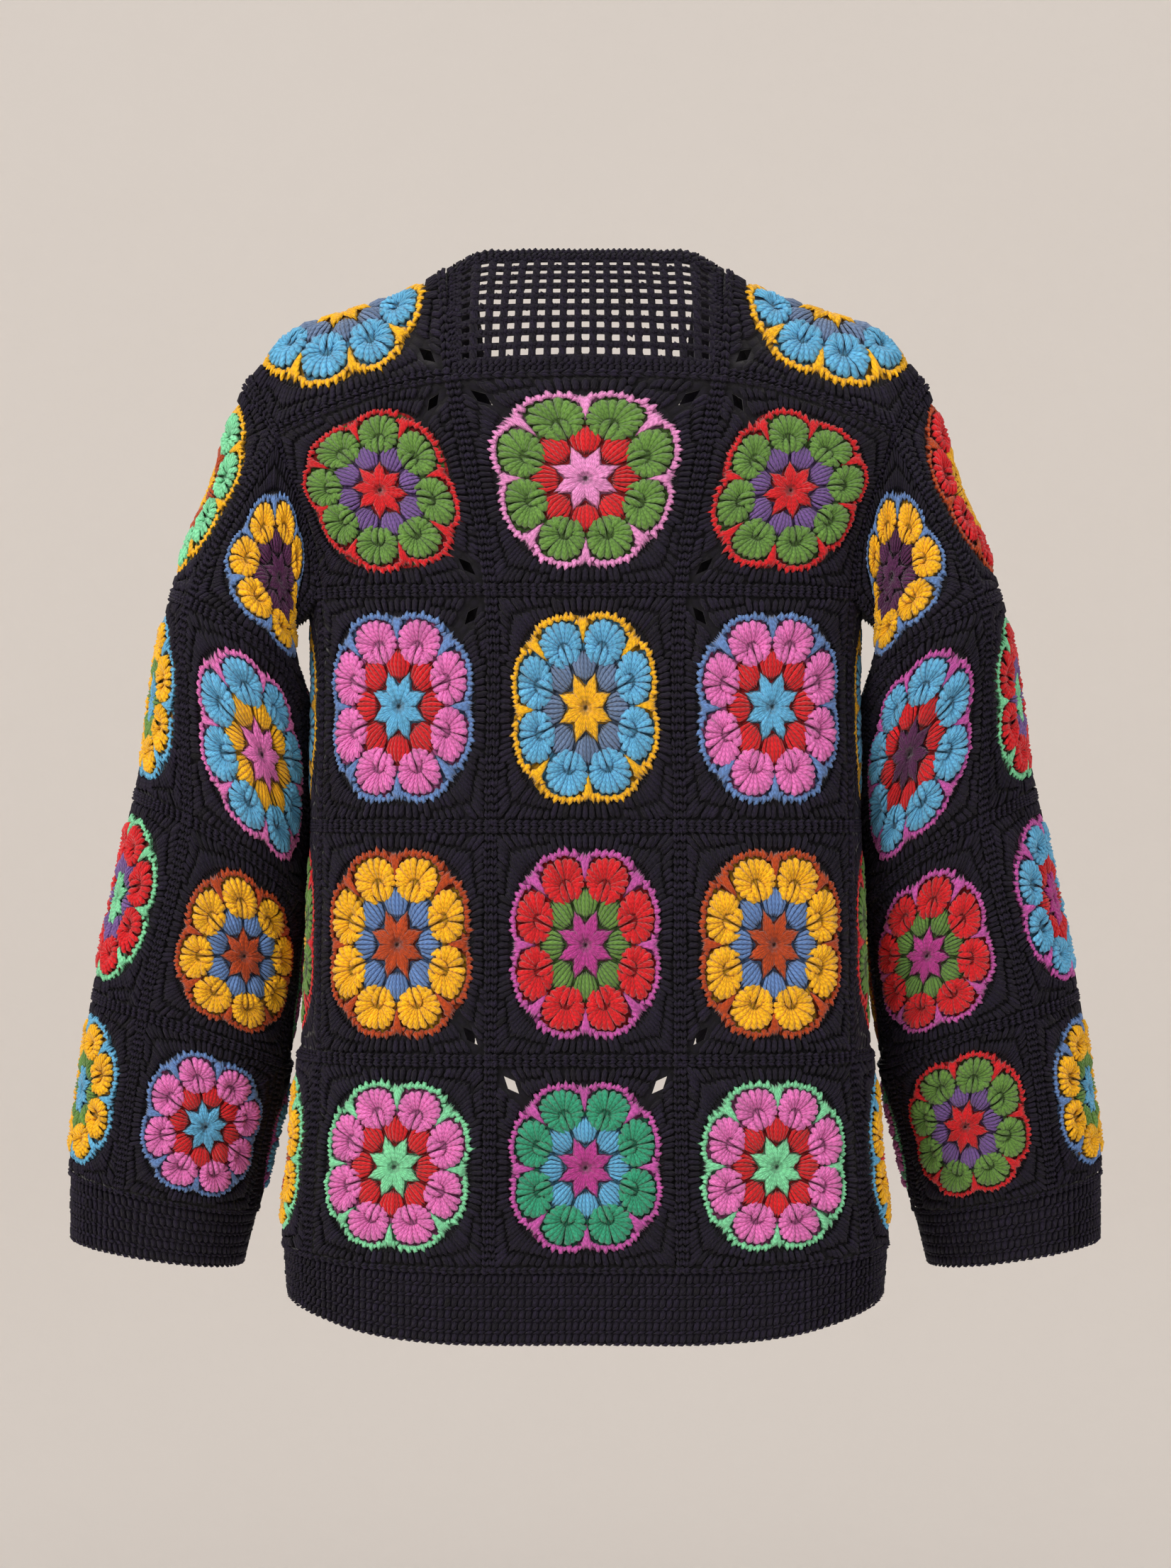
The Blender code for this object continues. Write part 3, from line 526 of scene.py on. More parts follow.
largePetal = {
    "strands": 15,
    "fanTurn": 134.0,          # half of the fan's turn
    "hole": 0.63,              # where its strands start
    "middle": 0.688,           # the oval's middle, and half its length and width
    "halfLong": 0.238, "halfWidth": 0.268,
    "egg": 0.12,               # how much wider its outer end is
    "steps": (0.15, 0.31, 0.62, 0.90, 1.02), "heights": (0.2, 2.2, 4.8, 3.9, 1.0),
    "width": (2.1, 3.6, 4.5), "thick": (1.9, 3.1, 2.8), "ring": 0, "shade": (1.0, 0.08),
    "unevenMiddle": 0.7, "unevenFan": 2.0, "unevenReach": 0.02, "unevenHeight": 0.25,
}
petalLeg = {
    "pairs": (((0.024, 0.044, 0.046, 0.034, 0.008), 0.69),     # ways aside, and the radius at the outer end
              ((0.080, 0.128, 0.130, 0.094, 0.034), 0.67)),
    "inner": 0.452, "steps": (0.0, 0.25, 0.55, 0.84, 1.0), "heights": (1.2, 3.8, 4.6, 3.6, 1.0),
    "width": (3.4, 4.3, 3.2), "thick": (2.4, 2.9, 2.2), "ring": 0, "shade": (1.0, 0.06),
    "unevenReach": 0.008, "unevenHeight": 0.2,
}


def largePetals(random):
    # eight puffs: strands fan out from a hole to an oval edge, and two pairs of thick ones close the inner
    # end to a point
    petal, each = largePetal, (petalCount, largePetal["strands"], 1)
    middle = petalAngles(0.5) + random.normal(0, petal["unevenMiddle"], (petalCount, 1, 1))
    fan = np.linspace(-petal["fanTurn"], petal["fanTurn"], petal["strands"])[:, None]
    fan = np.radians(fan + random.normal(0, petal["unevenFan"], each))
    edgeAlong = petal["middle"] + petal["halfLong"] * np.cos(fan)
    edgeAside = petal["halfWidth"] * np.sin(fan) * (1 + petal["egg"] * np.cos(fan))
    share = petal["steps"] * (1 + random.normal(0, petal["unevenReach"], each))
    along = petal["hole"] + (edgeAlong - petal["hole"]) * share
    height = petal["heights"] + random.normal(0, petal["unevenHeight"], each)
    batches = [grains(petalPath(middle, along, edgeAside * share, height), petal, random)]
    hand = np.array([-1.0, 1.0])[:, None]
    for aside, outer in petalLeg["pairs"]:
        along = outer + (petalLeg["inner"] - outer) * np.array(petalLeg["steps"])
        along = along + random.normal(0, petalLeg["unevenReach"], (petalCount, 2, 1))
        height = petalLeg["heights"] + random.normal(0, petalLeg["unevenHeight"], (petalCount, 2, 1))
        batches.append(grains(petalPath(middle, along, aside * hand, height), petalLeg, random))
    return joined(batches)


outline = {
    "spikes": 8,               # on each petal
    "halfTurn": 19.6,          # the turn to the last one, from the petal's middle
    "edge": 0.945,
    "notch": 0.075,            # how far the edge falls back at the turn notchAt
    "notchAt": 20.0, "unevenTurn": 0.35,
}
spike = {
    "reach": (-0.040, -0.005, 0.040, 0.100),   # beyond the edge
    "bend": (0.0, 0.0, 0.4, 1.4), "heights": (1.4, 3.0, 2.3, 0.6), "width": (3.7, 2.8),
    "thick": (2.5, 2.0), "ring": 1, "shade": (1.0, 0.08), "unevenReach": 0.010, "unevenBend": 0.8,
}
edgeChain = {
    "turns": (-0.12, 0.5, 1.12),               # shares of the way to the next spike
    "reach": (-0.012, 0.016, -0.012), "heights": (1.5, 3.0, 1.5), "width": 3.3, "thick": 2.3,
    "ring": 1, "shade": (1.02, 0.08), "unevenReach": 0.005,
}
wedge = {
    "hands": (-1.0, -0.5, 0.0, 0.5, 1.0), "radii": (0.645, 0.72, 0.80, 0.88, 0.955),
    "turns": (0.0, 0.6, 1.2, 2.0, 2.9), "heights": (0.9, 3.2, 3.9, 3.5, 1.0), "middleHigher": 0.5,
    "width": (1.9, 2.4, 2.8), "thick": (1.8, 2.1, 2.0), "ring": 1, "shade": (1.0, 0.08),
    "unevenReach": 0.01,
}


def outlineStrands(random):
    # pointed spikes round each petal's outer edge over a chain, and wedges of five long stitches that
    # point in between neighbours
    count, half = outline["spikes"], outline["halfTurn"]
    each = (petalCount, count, 1)
    turn = np.linspace(-half, half, count)[:, None] + random.normal(0, outline["unevenTurn"], each)
    edge = outline["edge"] - outline["notch"] * (np.abs(turn) / outline["notchAt"]) ** 3
    turn = petalAngles(0.5) + turn
    radius = edge + spike["reach"] + random.normal(0, spike["unevenReach"], each)
    degrees = turn + spike["bend"] * random.normal(0, spike["unevenBend"], each)
    spikes = grains(polarPath(radius, degrees, spike["heights"]), spike, random)
    degrees = turn + 2 * half / (count - 1) * np.array(edgeChain["turns"])
    radius = edge + edgeChain["reach"] + random.normal(0, edgeChain["unevenReach"], each)
    chain = grains(polarPath(radius[:, :-1], degrees[:, :-1], edgeChain["heights"]), edgeChain, random)
    hand = np.array(wedge["hands"])[:, None]
    radius = wedge["radii"] + random.normal(0, wedge["unevenReach"], (petalCount, len(hand), 1))
    height = wedge["heights"] + wedge["middleHigher"] * (1 - np.abs(hand))
    wedges = grains(polarPath(radius, petalAngles(0) + hand * wedge["turns"], height), wedge, random)
    return joined([spikes, chain, wedges])


post = {
    "across": 27,              # how many along a square's top and bottom
    "down": 33,                # and along its sides
    "outer": 0.95,             # share of the half square that they reach
    "inner": 0.965,            # radius that they start from
    "long": 14.0 * mm,         # a longer way is covered by two posts, which overlap
    "overlap": (0.50, 0.56), "steps": (0.0, 0.28, 0.72, 1.0), "heights": (0.4, 2.5, 2.5, 0.5),
    "width": (2.9, 3.4), "thick": (2.7, 2.8), "shade": (1.0, 0.22), "unevenEnd": 0.7 * mm,
    "unevenHeight": 0.35,
}
postPoints = 2 + grainSides * (len(post["steps"]) - 2)


def blackPosts(random):
    # posts from the flower's outline straight out to the seams
    half = np.array([square["wide"], square["tall"]]) / 2
    starts, ends = [], []
    for turned, count in ((False, post["across"]), (True, post["down"])):
        for hand in (-post["outer"], post["outer"]):
            outer = np.stack([np.linspace(-post["outer"], post["outer"], count), np.full(count, hand)], 1)
            outer = outer[:, ::-1] if turned else outer
            angle = np.arctan2(outer[:, 1] / square["flowerTall"], outer[:, 0] / square["flowerWide"])
            inner = fromFlower(post["inner"] * np.cos(angle), post["inner"] * np.sin(angle))
            starts.append(np.stack(inner, 1))
            ends.append(outer * half)
    start, end = np.concatenate(starts), np.concatenate(ends)
    end = end + random.normal(0, post["unevenEnd"], end.shape)
    way = end - start
    long = np.hypot(way[:, 0], way[:, 1]) > post["long"]
    secondStart, firstEnd = (start[long] + way[long] * share for share in post["overlap"])
    start = np.concatenate([start[~long], start[long], secondStart])
    end = np.concatenate([end[~long], firstEnd, end[long]])
    x, y = (start[:, None] + (end - start)[:, None] * np.array(post["steps"])[:, None]).transpose(2, 0, 1)
    height = post["heights"] + random.normal(0, post["unevenHeight"], (len(start), 1))
    return grains(asPath(x, y, height), post, random)


ridge = {
    "across": 24,              # chain links along a square's top and bottom
    "down": 30,                # and along its sides
    "steps": (-0.15, 0.5, 1.15), "inset": 1.9 * mm,
    "apart": (1.6 * mm, 1.0 * mm, 0.1 * mm),   # how far a link's two grains lie from its middle line
    # painted highlight: the links are lighter than the posts, as the raised chain catching light
    "heights": (1.6, 3.4, 2.2), "width": 2.8, "thick": 2.5, "shade": (1.25, 0.2),
    "unevenPlace": 0.2 * mm, "unevenHeight": 0.2,
}


def ridgeLinks(random):
    # the raised chain along a square's seams: each link is two grains that meet in a V
    halfWide, halfTall = square["wide"] / 2, square["tall"] / 2
    parts = []
    for turned, count in ((False, ridge["across"]), (True, ridge["down"])):
        across, length = (halfTall, halfWide) if turned else (halfWide, halfTall)
        step = 2 * across / count
        x = -across + step * (np.arange(count)[:, None] + np.array(ridge["steps"]))
        for hand in (-1.0, 1.0):
            for leg in (-1.0, 1.0):
                y = hand * (length - ridge["inset"]) + leg * np.array(ridge["apart"])
                y = y + random.normal(0, ridge["unevenPlace"], (count, 1))
                height = ridge["heights"] + random.normal(0, ridge["unevenHeight"], (count, 1))
                parts.append(grains(asPath(*((y, x) if turned else (x, y)), height), ridge, random))
    return joined(parts)


def inCorner(points, corner):
    # true for points over the chain space of one corner
    turn = cornerTurns[corner]
    p = points[:, 0] / (square["wide"] / 2) * turn[0]
    q = points[:, 1] / (square["tall"] / 2) * turn[1]
    along, across = np.abs((p + q) / 2 - square["gapMiddle"]), np.abs(p - q) / 2
    return (along < square["gapLong"]) & (across < square["gapHalfWidth"] * square["gapClear"])


def without(part, doomed, steps):
    # a batch of grains without those that have a point in doomed; each grain has the same number of points
    count = len(part["points"]) // steps
    keep = ~doomed.reshape(count, steps).any(axis=1)
    kept = {key: part[key].reshape(count, steps, *part[key].shape[1:])[keep].reshape(-1, *part[key].shape[1:])
            for key in ("points", "uv", "ring", "shade")}
    faces = part["triangles"][:len(part["triangles"]) // count]
    kept["triangles"] = (faces[None] + (np.arange(keep.sum()) * steps)[:, None, None]).reshape(-1, 3)
    return kept


def makeMesh(name, places, triangles, material, flip=False):
    mesh = bpy.data.meshes.new(name)
    triangles = triangles[:, ::-1] if flip else triangles
    mesh.vertices.add(len(places))
    mesh.vertices.foreach_set("co", places.astype(np.float32).ravel())
    mesh.loops.add(len(triangles) * 3)
    mesh.loops.foreach_set("vertex_index", triangles.astype(np.int32).ravel())
    mesh.polygons.add(len(triangles))
    mesh.polygons.foreach_set("loop_start", np.arange(0, len(triangles) * 3, 3, dtype=np.int32))
    mesh.update(calc_edges=True)
    mesh.shade_smooth()
    mesh.materials.append(material)
    thing = bpy.data.objects.new(name, mesh)
    bpy.context.scene.collection.objects.link(thing)
    return thing, triangles


def setUv(thing, name, uv):
    thing.data.uv_layers.new(name=name).data.foreach_set("uv", uv.astype(np.float32).ravel())


def setColour(thing, name, domain, colours):
    full = np.concatenate([colours, np.ones((len(colours), 1))], axis=1)
    layer = thing.data.attributes.new(name, "FLOAT_COLOR", domain)
    layer.data.foreach_set("color", full.astype(np.float32).ravel())


def onBody(name, cloth, u, v, height, faces, material):
    # a mesh given in (u, v, height), laid on a cloth and carried by the body
    flip = (cloth["outward"] < 0) != cloth["mirrored"]
    thing, triangles = makeMesh(name, onCloth(cloth, u, v, height), faces, material, flip)
    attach(thing, "root")
    return thing, triangles


def yarnPiece(name, cloth, whole, colours, material):
    # lays a batch of grains on a cloth and colours its points
    thing, triangles = onBody(name, cloth, *whole["points"].T, whole["triangles"], material)
    setUv(thing, "yarn", whole["uv"][triangles.ravel()])
    setColour(thing, "yarnColour", "POINT", colours * whole["shade"][:, None])
    return thing


def blackPiece(name, cloth, whole):
    black = np.repeat(linear("black")[None], len(whole["points"]), axis=0)
    return yarnPiece(name, cloth, whole, black, materials["black"])


def handIn(name, sheet, pieces, nodes):
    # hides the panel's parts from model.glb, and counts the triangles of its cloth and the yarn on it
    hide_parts(*(nodes or (name,)))
    for piece in [sheet] + pieces:
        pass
    count = sum(len(piece.data.polygons) for piece in [sheet] + pieces)
    print(f"{name}: {count} triangles")
    return count


shell = {
    "thick": 1.5 * mm,
    "halfCells": (0.0, 0.17, 0.34, 0.5, 0.62, 0.72, 0.84, 1.0),   # grid lines of half a square
    "dome": 1.5 * mm,          # how far the cloth puffs up under the large petals
    "domeFrom": 0.4,           # from this flower radius, and over how much of it
    "domeWide": 0.55,
}


def clothMesh(uLines, vLines, openCells, wraps):
    # a closed shell over a grid: outer and inner points, faces of the solid cells, walls round the open ones
    nu, nv = len(uLines) - 1, len(vLines) - 1
    columns = nu if wraps else nu + 1
    index = np.arange(columns * (nv + 1)).reshape(columns, nv + 1)
    solid = np.ones((nu, nv), bool)
    for cell in openCells:
        solid[cell] = False
    i, j = np.nonzero(solid)
    after = (i + 1) % columns
    a, b, c, d = index[i, j], index[after, j], index[after, j + 1], index[i, j + 1]
    inner = columns * (nv + 1)
    faces = [np.stack([a, b, c], 1), np.stack([a, c, d], 1),
             np.stack([a, c, b], 1) + inner, np.stack([a, d, c], 1) + inner]
    cells = [np.stack([i, j], 1)] * 4
    padded = np.zeros((nu + 2, nv + 2), bool)
    padded[1:-1, 1:-1] = solid
    if wraps:
        padded[0], padded[-1] = padded[-2], padded[1]
    edges = []
    for before, here, reverse in ((False, True, False), (True, False, True)):
        k, j = np.nonzero((padded[:-1, 1:-1] == before) & (padded[1:, 1:-1] == here))
        if wraps:
            k, j = k[k < nu], j[k < nu]
        edges.append((index[k % columns, j], index[k % columns, j + 1], reverse, k - before, j))
        i, k = np.nonzero((padded[1:-1, :-1] == before) & (padded[1:-1, 1:] == here))
        edges.append((index[i, k], index[(i + 1) % columns, k], not reverse, i, k - before))
    for start, end, reverse, i, j in edges:
        quad = [start, end, end + inner, start + inner]
        quad = quad[::-1] if reverse else quad
        faces += [np.stack([quad[0], quad[1], quad[2]], 1), np.stack([quad[0], quad[2], quad[3]], 1)]
        cells += [np.stack([np.mod(i, nu), np.clip(j, 0, nv - 1)], 1)] * 2
    uu, vv = np.meshgrid(uLines[:columns], vLines, indexing="ij")
    return np.tile(uu.ravel(), 2), np.tile(vv.ravel(), 2), inner, np.concatenate(faces), np.concatenate(cells)


def squareLines(start, count):
    # the grid lines of a run of squares
    half = np.array(shell["halfCells"])
    line = np.concatenate([-half[::-1], half[1:]])
    lines = [start + k + 0.5 + line[(0 if k == 0 else 1):] / 2 for k in range(count)]
    return np.concatenate(lines)


def stretchGaps(u, v, inner, rowLength, uLines, vLines, openCells, gaps):
    # pulls the four points of each open cell into a slim slit along its square's diagonal
    for (i, j), (_, _, corner) in zip(openCells, gaps):
        turn = cornerTurns[corner]
        middle = np.array([uLines[i] + uLines[i + 1], vLines[j] + vLines[j + 1]]) / 2
        for m, n in ((0, 0), (1, 0), (0, 1), (1, 1)):
            a, b = (2 * m - 1) * turn[0], (2 * n - 1) * turn[1]
            along, across = (a + b) / 2 * square["gapLong"], (a - b) / 2 * square["gapHalfWidth"]
            here = (i + m) * rowLength + j + n
            for point in (here, here + inner):
                u[point] = middle[0] + (along + across) * turn[0] / 2
                v[point] = middle[1] + (along - across) * turn[1] / 2


def squareCloth(name, cloth, u0, columns, v0, rows, gaps, wraps):
    # the thin cloth of a run of squares, puffed up under the large petals, with its corner gaps cut out
    cellsEach = 2 * (len(shell["halfCells"]) - 1)
    low, high = 1, cellsEach - 2
    cornerCell = [(high, high), (low, high), (low, low), (high, low)]
    openCells = [(column * cellsEach + cornerCell[corner][0], row * cellsEach + cornerCell[corner][1])
                 for column, row, corner in gaps]
    uLines, vLines = squareLines(u0, columns), squareLines(v0, rows)
    u, v, inner, faces, cells = clothMesh(uLines, vLines, openCells, wraps)
    stretchGaps(u, v, inner, len(vLines), uLines, vLines, openCells, gaps)
    p, q = 2 * np.mod(u - u0, 1.0) - 1, 2 * np.mod(v - v0, 1.0) - 1
    radius = np.hypot(p / square["flowerWide"], q / square["flowerTall"])
    share = np.clip((radius - shell["domeFrom"]) / shell["domeWide"], 0, 1)
    dome = shell["dome"] * np.sin(math.pi * share) ** 2
    height = np.where(np.arange(len(u)) < inner, shell["thick"] / 2 + dome, -shell["thick"] / 2)
    thing, triangles = onBody(name + "_cloth", cloth, u, v, height, faces, materials["cloth"])
    column, row = cells[:, 0] // cellsEach, cells[:, 1] // cellsEach
    whole = columns if wraps else 1e6          # one turn round, where the squares close up
    du = np.mod(u[triangles] - (u0 + column + 0.5)[:, None] + whole / 2, whole) - whole / 2
    dv = v[triangles] - (v0 + row + 0.5)[:, None]
    setUv(thing, "square", 2 * np.stack([du, dv], axis=2))
    table = squareYarns[name]
    for k, part in enumerate(("petal", "outline", "smallPetal", "star")):
        colours = np.array([[linear(table[c][r][k]) for r in range(rows)] for c in range(columns)])
        setColour(thing, part + "Colour", "FACE", colours[column, row])
    return thing


flowerRounds = (largePetals, outlineStrands, smallPetals, starStrands)


def dressSquares(name, surface, outward, u0, columns, v0, rows, creases=(), mirrored=False, gaps=(),
                 pressed=(), tilts=None, wraps=False, nodes=()):
    # cloth, flowers and black stitches of one panel of squares
    cloth = {"surface": surface, "outward": outward, "creases": creases, "mirrored": mirrored}
    random = np.random.default_rng(sum(map(ord, name)))
    sheet = squareCloth(name, cloth, u0, columns, v0, rows, gaps, wraps)
    flowers, stitches, flowerColours = [], [], []
    for column in range(columns):
        for row in range(rows):
            flower = joined([part(random) for part in flowerRounds])
            tilt = (tilts or {}).get((column, row), 0.0)
            turn = math.radians(tilt + random.normal(0, square["unevenTurn"]))
            x, y = flower["points"][:, 0].copy(), flower["points"][:, 1].copy()
            flower["points"][:, 0] = x * math.cos(turn) - y * math.sin(turn)
            flower["points"][:, 1] = x * math.sin(turn) + y * math.cos(turn)
            colours = np.array([linear(yarn) for yarn in squareYarns[name][column][row]])
            flowerColours.append(colours[flower["ring"]])
            posts, links = blackPosts(random), ridgeLinks(random)
            for corner in range(4):
                if (column, row, corner) in gaps:
                    posts = without(posts, inCorner(posts["points"], corner), postPoints)
            for part, batch in ((flower, flowers), (joined([posts, links]), stitches)):
                points = part["points"]
                points[:, 0] = u0 + column + 0.5 + points[:, 0] / square["wide"]
                points[:, 1] = v0 + row + 0.5 + points[:, 1] / square["tall"]
                points[:, 2] *= square["pressed"] if (column, row) in pressed else 1.0
                batch.append(part)
    flowerPiece = yarnPiece(name + "_flowers", cloth, joined(flowers), np.concatenate(flowerColours),
                            materials["flower"])
    stitchPiece = blackPiece(name + "_stitches", cloth, joined(stitches))
    return handIn(name, sheet, [flowerPiece, stitchPiece], nodes)


# A row of plain stitches: a post at each step of the row's length, and a chain ridge below the posts.
rowPost = {
    "step": 4.0 * mm,
    "along": (-0.25, -0.1, 0.1, 0.25),         # shares of a step
    "down": (0.02, 0.25, 0.7, 0.95),           # shares of the row's height
    "heights": (0.51, 1.7, 1.7, 0.51), "width": 3.1, "thick": 2.4, "shade": (1.0, 0.22),
    "unevenHeight": 0.2,
}
rowLink = {
    "step": 4.8 * mm,
    "along": (-0.62, 0.0, 0.62),               # shares of a step
    "down": 0.97, "slant": (-0.8 * mm, 0.0, 0.8 * mm), "heights": (1.0, 2.0, 1.0), "width": 2.5,
    # painted highlight: the links are lighter than the posts, as the raised chain catching light
    "thick": 2.3, "shade": (1.2, 0.2), "unevenHeight": 0.2,
}


def stitchRows(length, tall, rows, random):
    # rows of posts with a chain ridge below each, on a flat strip of the given length and height in metres
    parts = []
    rowTall = tall / rows
    posts, links = (int(round(length / stitch["step"])) for stitch in (rowPost, rowLink))
    for row in range(rows):
        top = row * rowTall
        x = (np.arange(posts) + 0.5)[:, None] * length / posts + rowPost["step"] * np.array(rowPost["along"])
        height = rowPost["heights"] + random.normal(0, rowPost["unevenHeight"], (posts, 1))
        parts.append(grains(asPath(x, top + rowTall * np.array(rowPost["down"]), height), rowPost, random))
        x = (np.arange(links)[:, None] + 0.5 + np.array(rowLink["along"])) * length / links
        y = top + rowTall * rowLink["down"] + np.array(rowLink["slant"])
        height = rowLink["heights"] + random.normal(0, rowLink["unevenHeight"], (links, 1))
        parts.append(grains(asPath(x, y, height), rowLink, random))
    return joined(parts)


def dressBand(name, surface, outward, uSpan, vSpan, cells, strip, along, rows, creases=(), mirrored=False,
              wraps=False, openCells=(), lines=None,
              yarn=None):
    # cloth and stitch rows of a plain band; strip is its length and height, along the axis its rows follow
    cloth = {"surface": surface, "outward": outward, "creases": creases, "mirrored": mirrored}
    random = np.random.default_rng(sum(map(ord, name)))
    uLines, vLines = lines or (np.linspace(*uSpan, cells[0] + 1), np.linspace(*vSpan, cells[1] + 1))
    u, v, inner, faces, _ = clothMesh(uLines, vLines, openCells, wraps)
    height = np.where(np.arange(len(u)) < inner, 0.5, -0.5) * shell["thick"]
    sheet, triangles = onBody(name + "_cloth", cloth, u, v, height, faces, materials["black"])
    setUv(sheet, "yarn", bandCloth["plies"] * np.stack([u[triangles], v[triangles]], axis=2))
    # painted shade: the band's cloth takes the black yarn's colour made darker, as shade between the stitches
    setColour(sheet, "yarnColour", "POINT", np.tile(linear("black") * bandCloth["shade"], (len(u), 1)))
    if yarn is None:
        yarn = stitchRows(strip[0], strip[1], rows, random)
        x, y = yarn["points"][:, 0] / strip[0], yarn["points"][:, 1] / strip[1]
        if along == "v":
            x, y = y, x
            yarn["triangles"] = yarn["triangles"][:, ::-1]
        yarn["points"][:, 0] = uSpan[0] + x * (uSpan[1] - uSpan[0])
        yarn["points"][:, 1] = vSpan[0] + y * (vSpan[1] - vSpan[0])
    return handIn(name, sheet, [blackPiece(name + "_stitches", cloth, yarn)], ())


bandCloth = {
    "plies": 10,               # yarn lengths of cloth for one unit of u or v
    # painted shade: the band's cloth is darker than its stitches' yarn, as shade between the stitches
    "shade": 0.8,
}
net = {
    "columns": 17, "rows": 9,
    "hole": 0.52,              # share of a mesh that the thin cloth leaves open; the cords narrow it
    "side": 0.028,             # solid posts and bands, as shares of the yoke
    "top": 0.10, "bottom": 0.09, "wide": 17.2 * cm, "tall": 9.6 * cm,
    "bandWide": 0.99,          # share of the yoke that the bands' stitches fill
    "postOuter": 0.497,        # where the side posts' stitches end, as u
    "bandRows": 2,
}
upright = {
    "aside": (0.9, 1.1, 0.2, -1.1, -0.9), "down": (-0.05, 0.22, 0.5, 0.78, 1.05),
    "heights": (0.2, 0.5, 0.9, 0.5, 0.2), "width": 3.0, "thick": 2.6, "shade": (1.0, 0.2),
    "unevenPlace": 0.25 * mm, "unevenHeight": 0.1,
}
crossbar = {
    "links": 3, "along": (-0.12, 0.5, 1.12), "slant": (-0.7, 0.2, 0.7), "heights": (0.2, 0.9, 0.2),
    "widths": (4.0, 5.6), "thick": 3.1, "shade": (1.0, 0.2), "unevenPlace": 0.55 * mm,
    "unevenHeight": 0.12,
}
knot = {
    "along": (-2.0, 0.0, 2.0), "heights": (0.0, 0.6, 0.0), "width": 5.0, "thick": 3.6,
    "shade": (1.1, 0.15),
}


def netLines(low, high, count, first, last):
    # edge, then both sides of each hole, then edge
    size = (high - low) * (1.0 - first - last) / count
    middle = low + (high - low) * first + size * (np.arange(count) + 0.5)
    sides = np.stack([middle - size * net["hole"] / 2, middle + size * net["hole"] / 2], axis=1).ravel()
    return np.concatenate([[low], sides, [high]])


def crossings(across, down):
    # the places where lines across meet lines down, as two columns
    x, y = np.meshgrid(across, down, indexing="ij")
    return x.reshape(-1, 1), y.reshape(-1, 1)


def netCords(random):
    # two crossing strands for each upright, three links for each crossbar, a knot where they meet, and
    # rows of posts on the solid bands; given in (u, v, height)
    wide, tall = net["wide"], net["tall"]
    left, right = -0.5 + net["side"], 0.5 - net["side"]
    top, low = net["top"], 1 - net["bottom"]
    uprights = np.linspace(left, right, net["columns"] + 1) * wide
    bars = np.linspace(top, low, net["rows"] + 1) * tall
    parts = []
    x, y = crossings(uprights, bars[:-1])
    down = (bars[1] - bars[0]) * np.array(upright["down"])
    for hand in (-mm, mm):
        shifted = x + hand * np.array(upright["aside"]) + random.normal(0, upright["unevenPlace"], x.shape)
        height = hand / mm * np.array(upright["heights"]) + random.normal(0, upright["unevenHeight"], x.shape)
        parts.append(grains(asPath(shifted, y + down, height), upright, random))
    x, y = crossings(uprights[:-1], bars)
    step = (uprights[1] - uprights[0]) / crossbar["links"]
    for link in range(crossbar["links"]):
        shifted = y + np.array(crossbar["slant"]) * mm + random.normal(0, crossbar["unevenPlace"], x.shape)
        height = crossbar["heights"] + random.normal(0, crossbar["unevenHeight"], x.shape)
        yarn = {**crossbar, "width": random.uniform(*crossbar["widths"], x.shape)}
        along = x + step * (link + np.array(crossbar["along"]))
        parts.append(grains(asPath(along, shifted, height), yarn, random))
    x, y = crossings(uprights, bars)
    parts.append(grains(asPath(x + np.array(knot["along"]) * mm, y, knot["heights"]), knot, random))
    for start, end in ((0.0, top), (low, 1.0)):
        band = stitchRows(wide * net["bandWide"], tall * (end - start), net["bandRows"], random)
        band["points"][:, 0] -= wide * net["bandWide"] / 2
        band["points"][:, 1] += tall * start
        parts.append(band)
    for start, end in ((-net["postOuter"], left), (right, net["postOuter"])):
        side = stitchRows(tall * (low - top), wide * (end - start), net["bandRows"], random)
        side["points"][:, :2] = side["points"][:, 1::-1]
        side["triangles"] = side["triangles"][:, ::-1]
        side["points"][:, 0] += wide * start
        side["points"][:, 1] += tall * top
        parts.append(side)
    whole = joined(parts)
    whole["points"][:, 0] /= wide
    whole["points"][:, 1] /= tall
    return whole


def calc(operation, *terms):
    # one step of arithmetic on wires and numbers
    tree = next(term for term in terms if isinstance(term, Wire)).tree
    inputs = {f"i{k}": term for k, term in enumerate(terms)}
    return put(tree, "ShaderNodeMath", {"operation": operation}, **inputs)


class Wire:
    # a node's output, which can be added, subtracted and multiplied
    def __init__(self, socket):
        self.socket, self.tree = socket, socket.id_data

    def __add__(self, other):
        return calc("ADD", self, other)

    def __sub__(self, other):
        return calc("SUBTRACT", self, other)

    def __rsub__(self, other):
        return calc("SUBTRACT", other, self)

    def __mul__(self, other):
        return calc("MULTIPLY", self, other)


def feed(socket, value):
    if isinstance(value, Wire):
        value.tree.links.new(value.socket, socket)
    else:
        socket.default_value = value


def put(tree, kind, settings=None, output=0, **inputs):
    # adds a node and returns an output; inputs are its sockets, by name with _ for a space, or i and a number
    node = tree.nodes.new(kind)
    for name, value in (settings or {}).items():
        setattr(node, name, value)
    for name, value in inputs.items():
        numbered = name[0] == "i" and name[1:].isdigit()
        feed(node.inputs[int(name[1:]) if numbered else name.replace("_", " ")], value)
    return Wire(node.outputs[output])


def blend(tree, factor, a, b, way="MIX"):
    # mixes two colours
    return put(tree, "ShaderNodeMix", {"data_type": "RGBA", "blend_type": way}, 2, i0=factor, i6=a, i7=b)


def noise(tree, **settings):
    place = put(tree, "ShaderNodeTexCoord", output="Object")
    return put(tree, "ShaderNodeTexNoise", Vector=place, **settings)


def attribute(tree, name):
    return put(tree, "ShaderNodeAttribute", {"attribute_name": name}, "Color")


def coordinates(tree, name):
    # both coordinates of a UV map
    first = put(tree, "ShaderNodeSeparateXYZ", Vector=put(tree, "ShaderNodeUVMap", {"uv_map": name}))
    return first, Wire(first.socket.node.outputs[1])


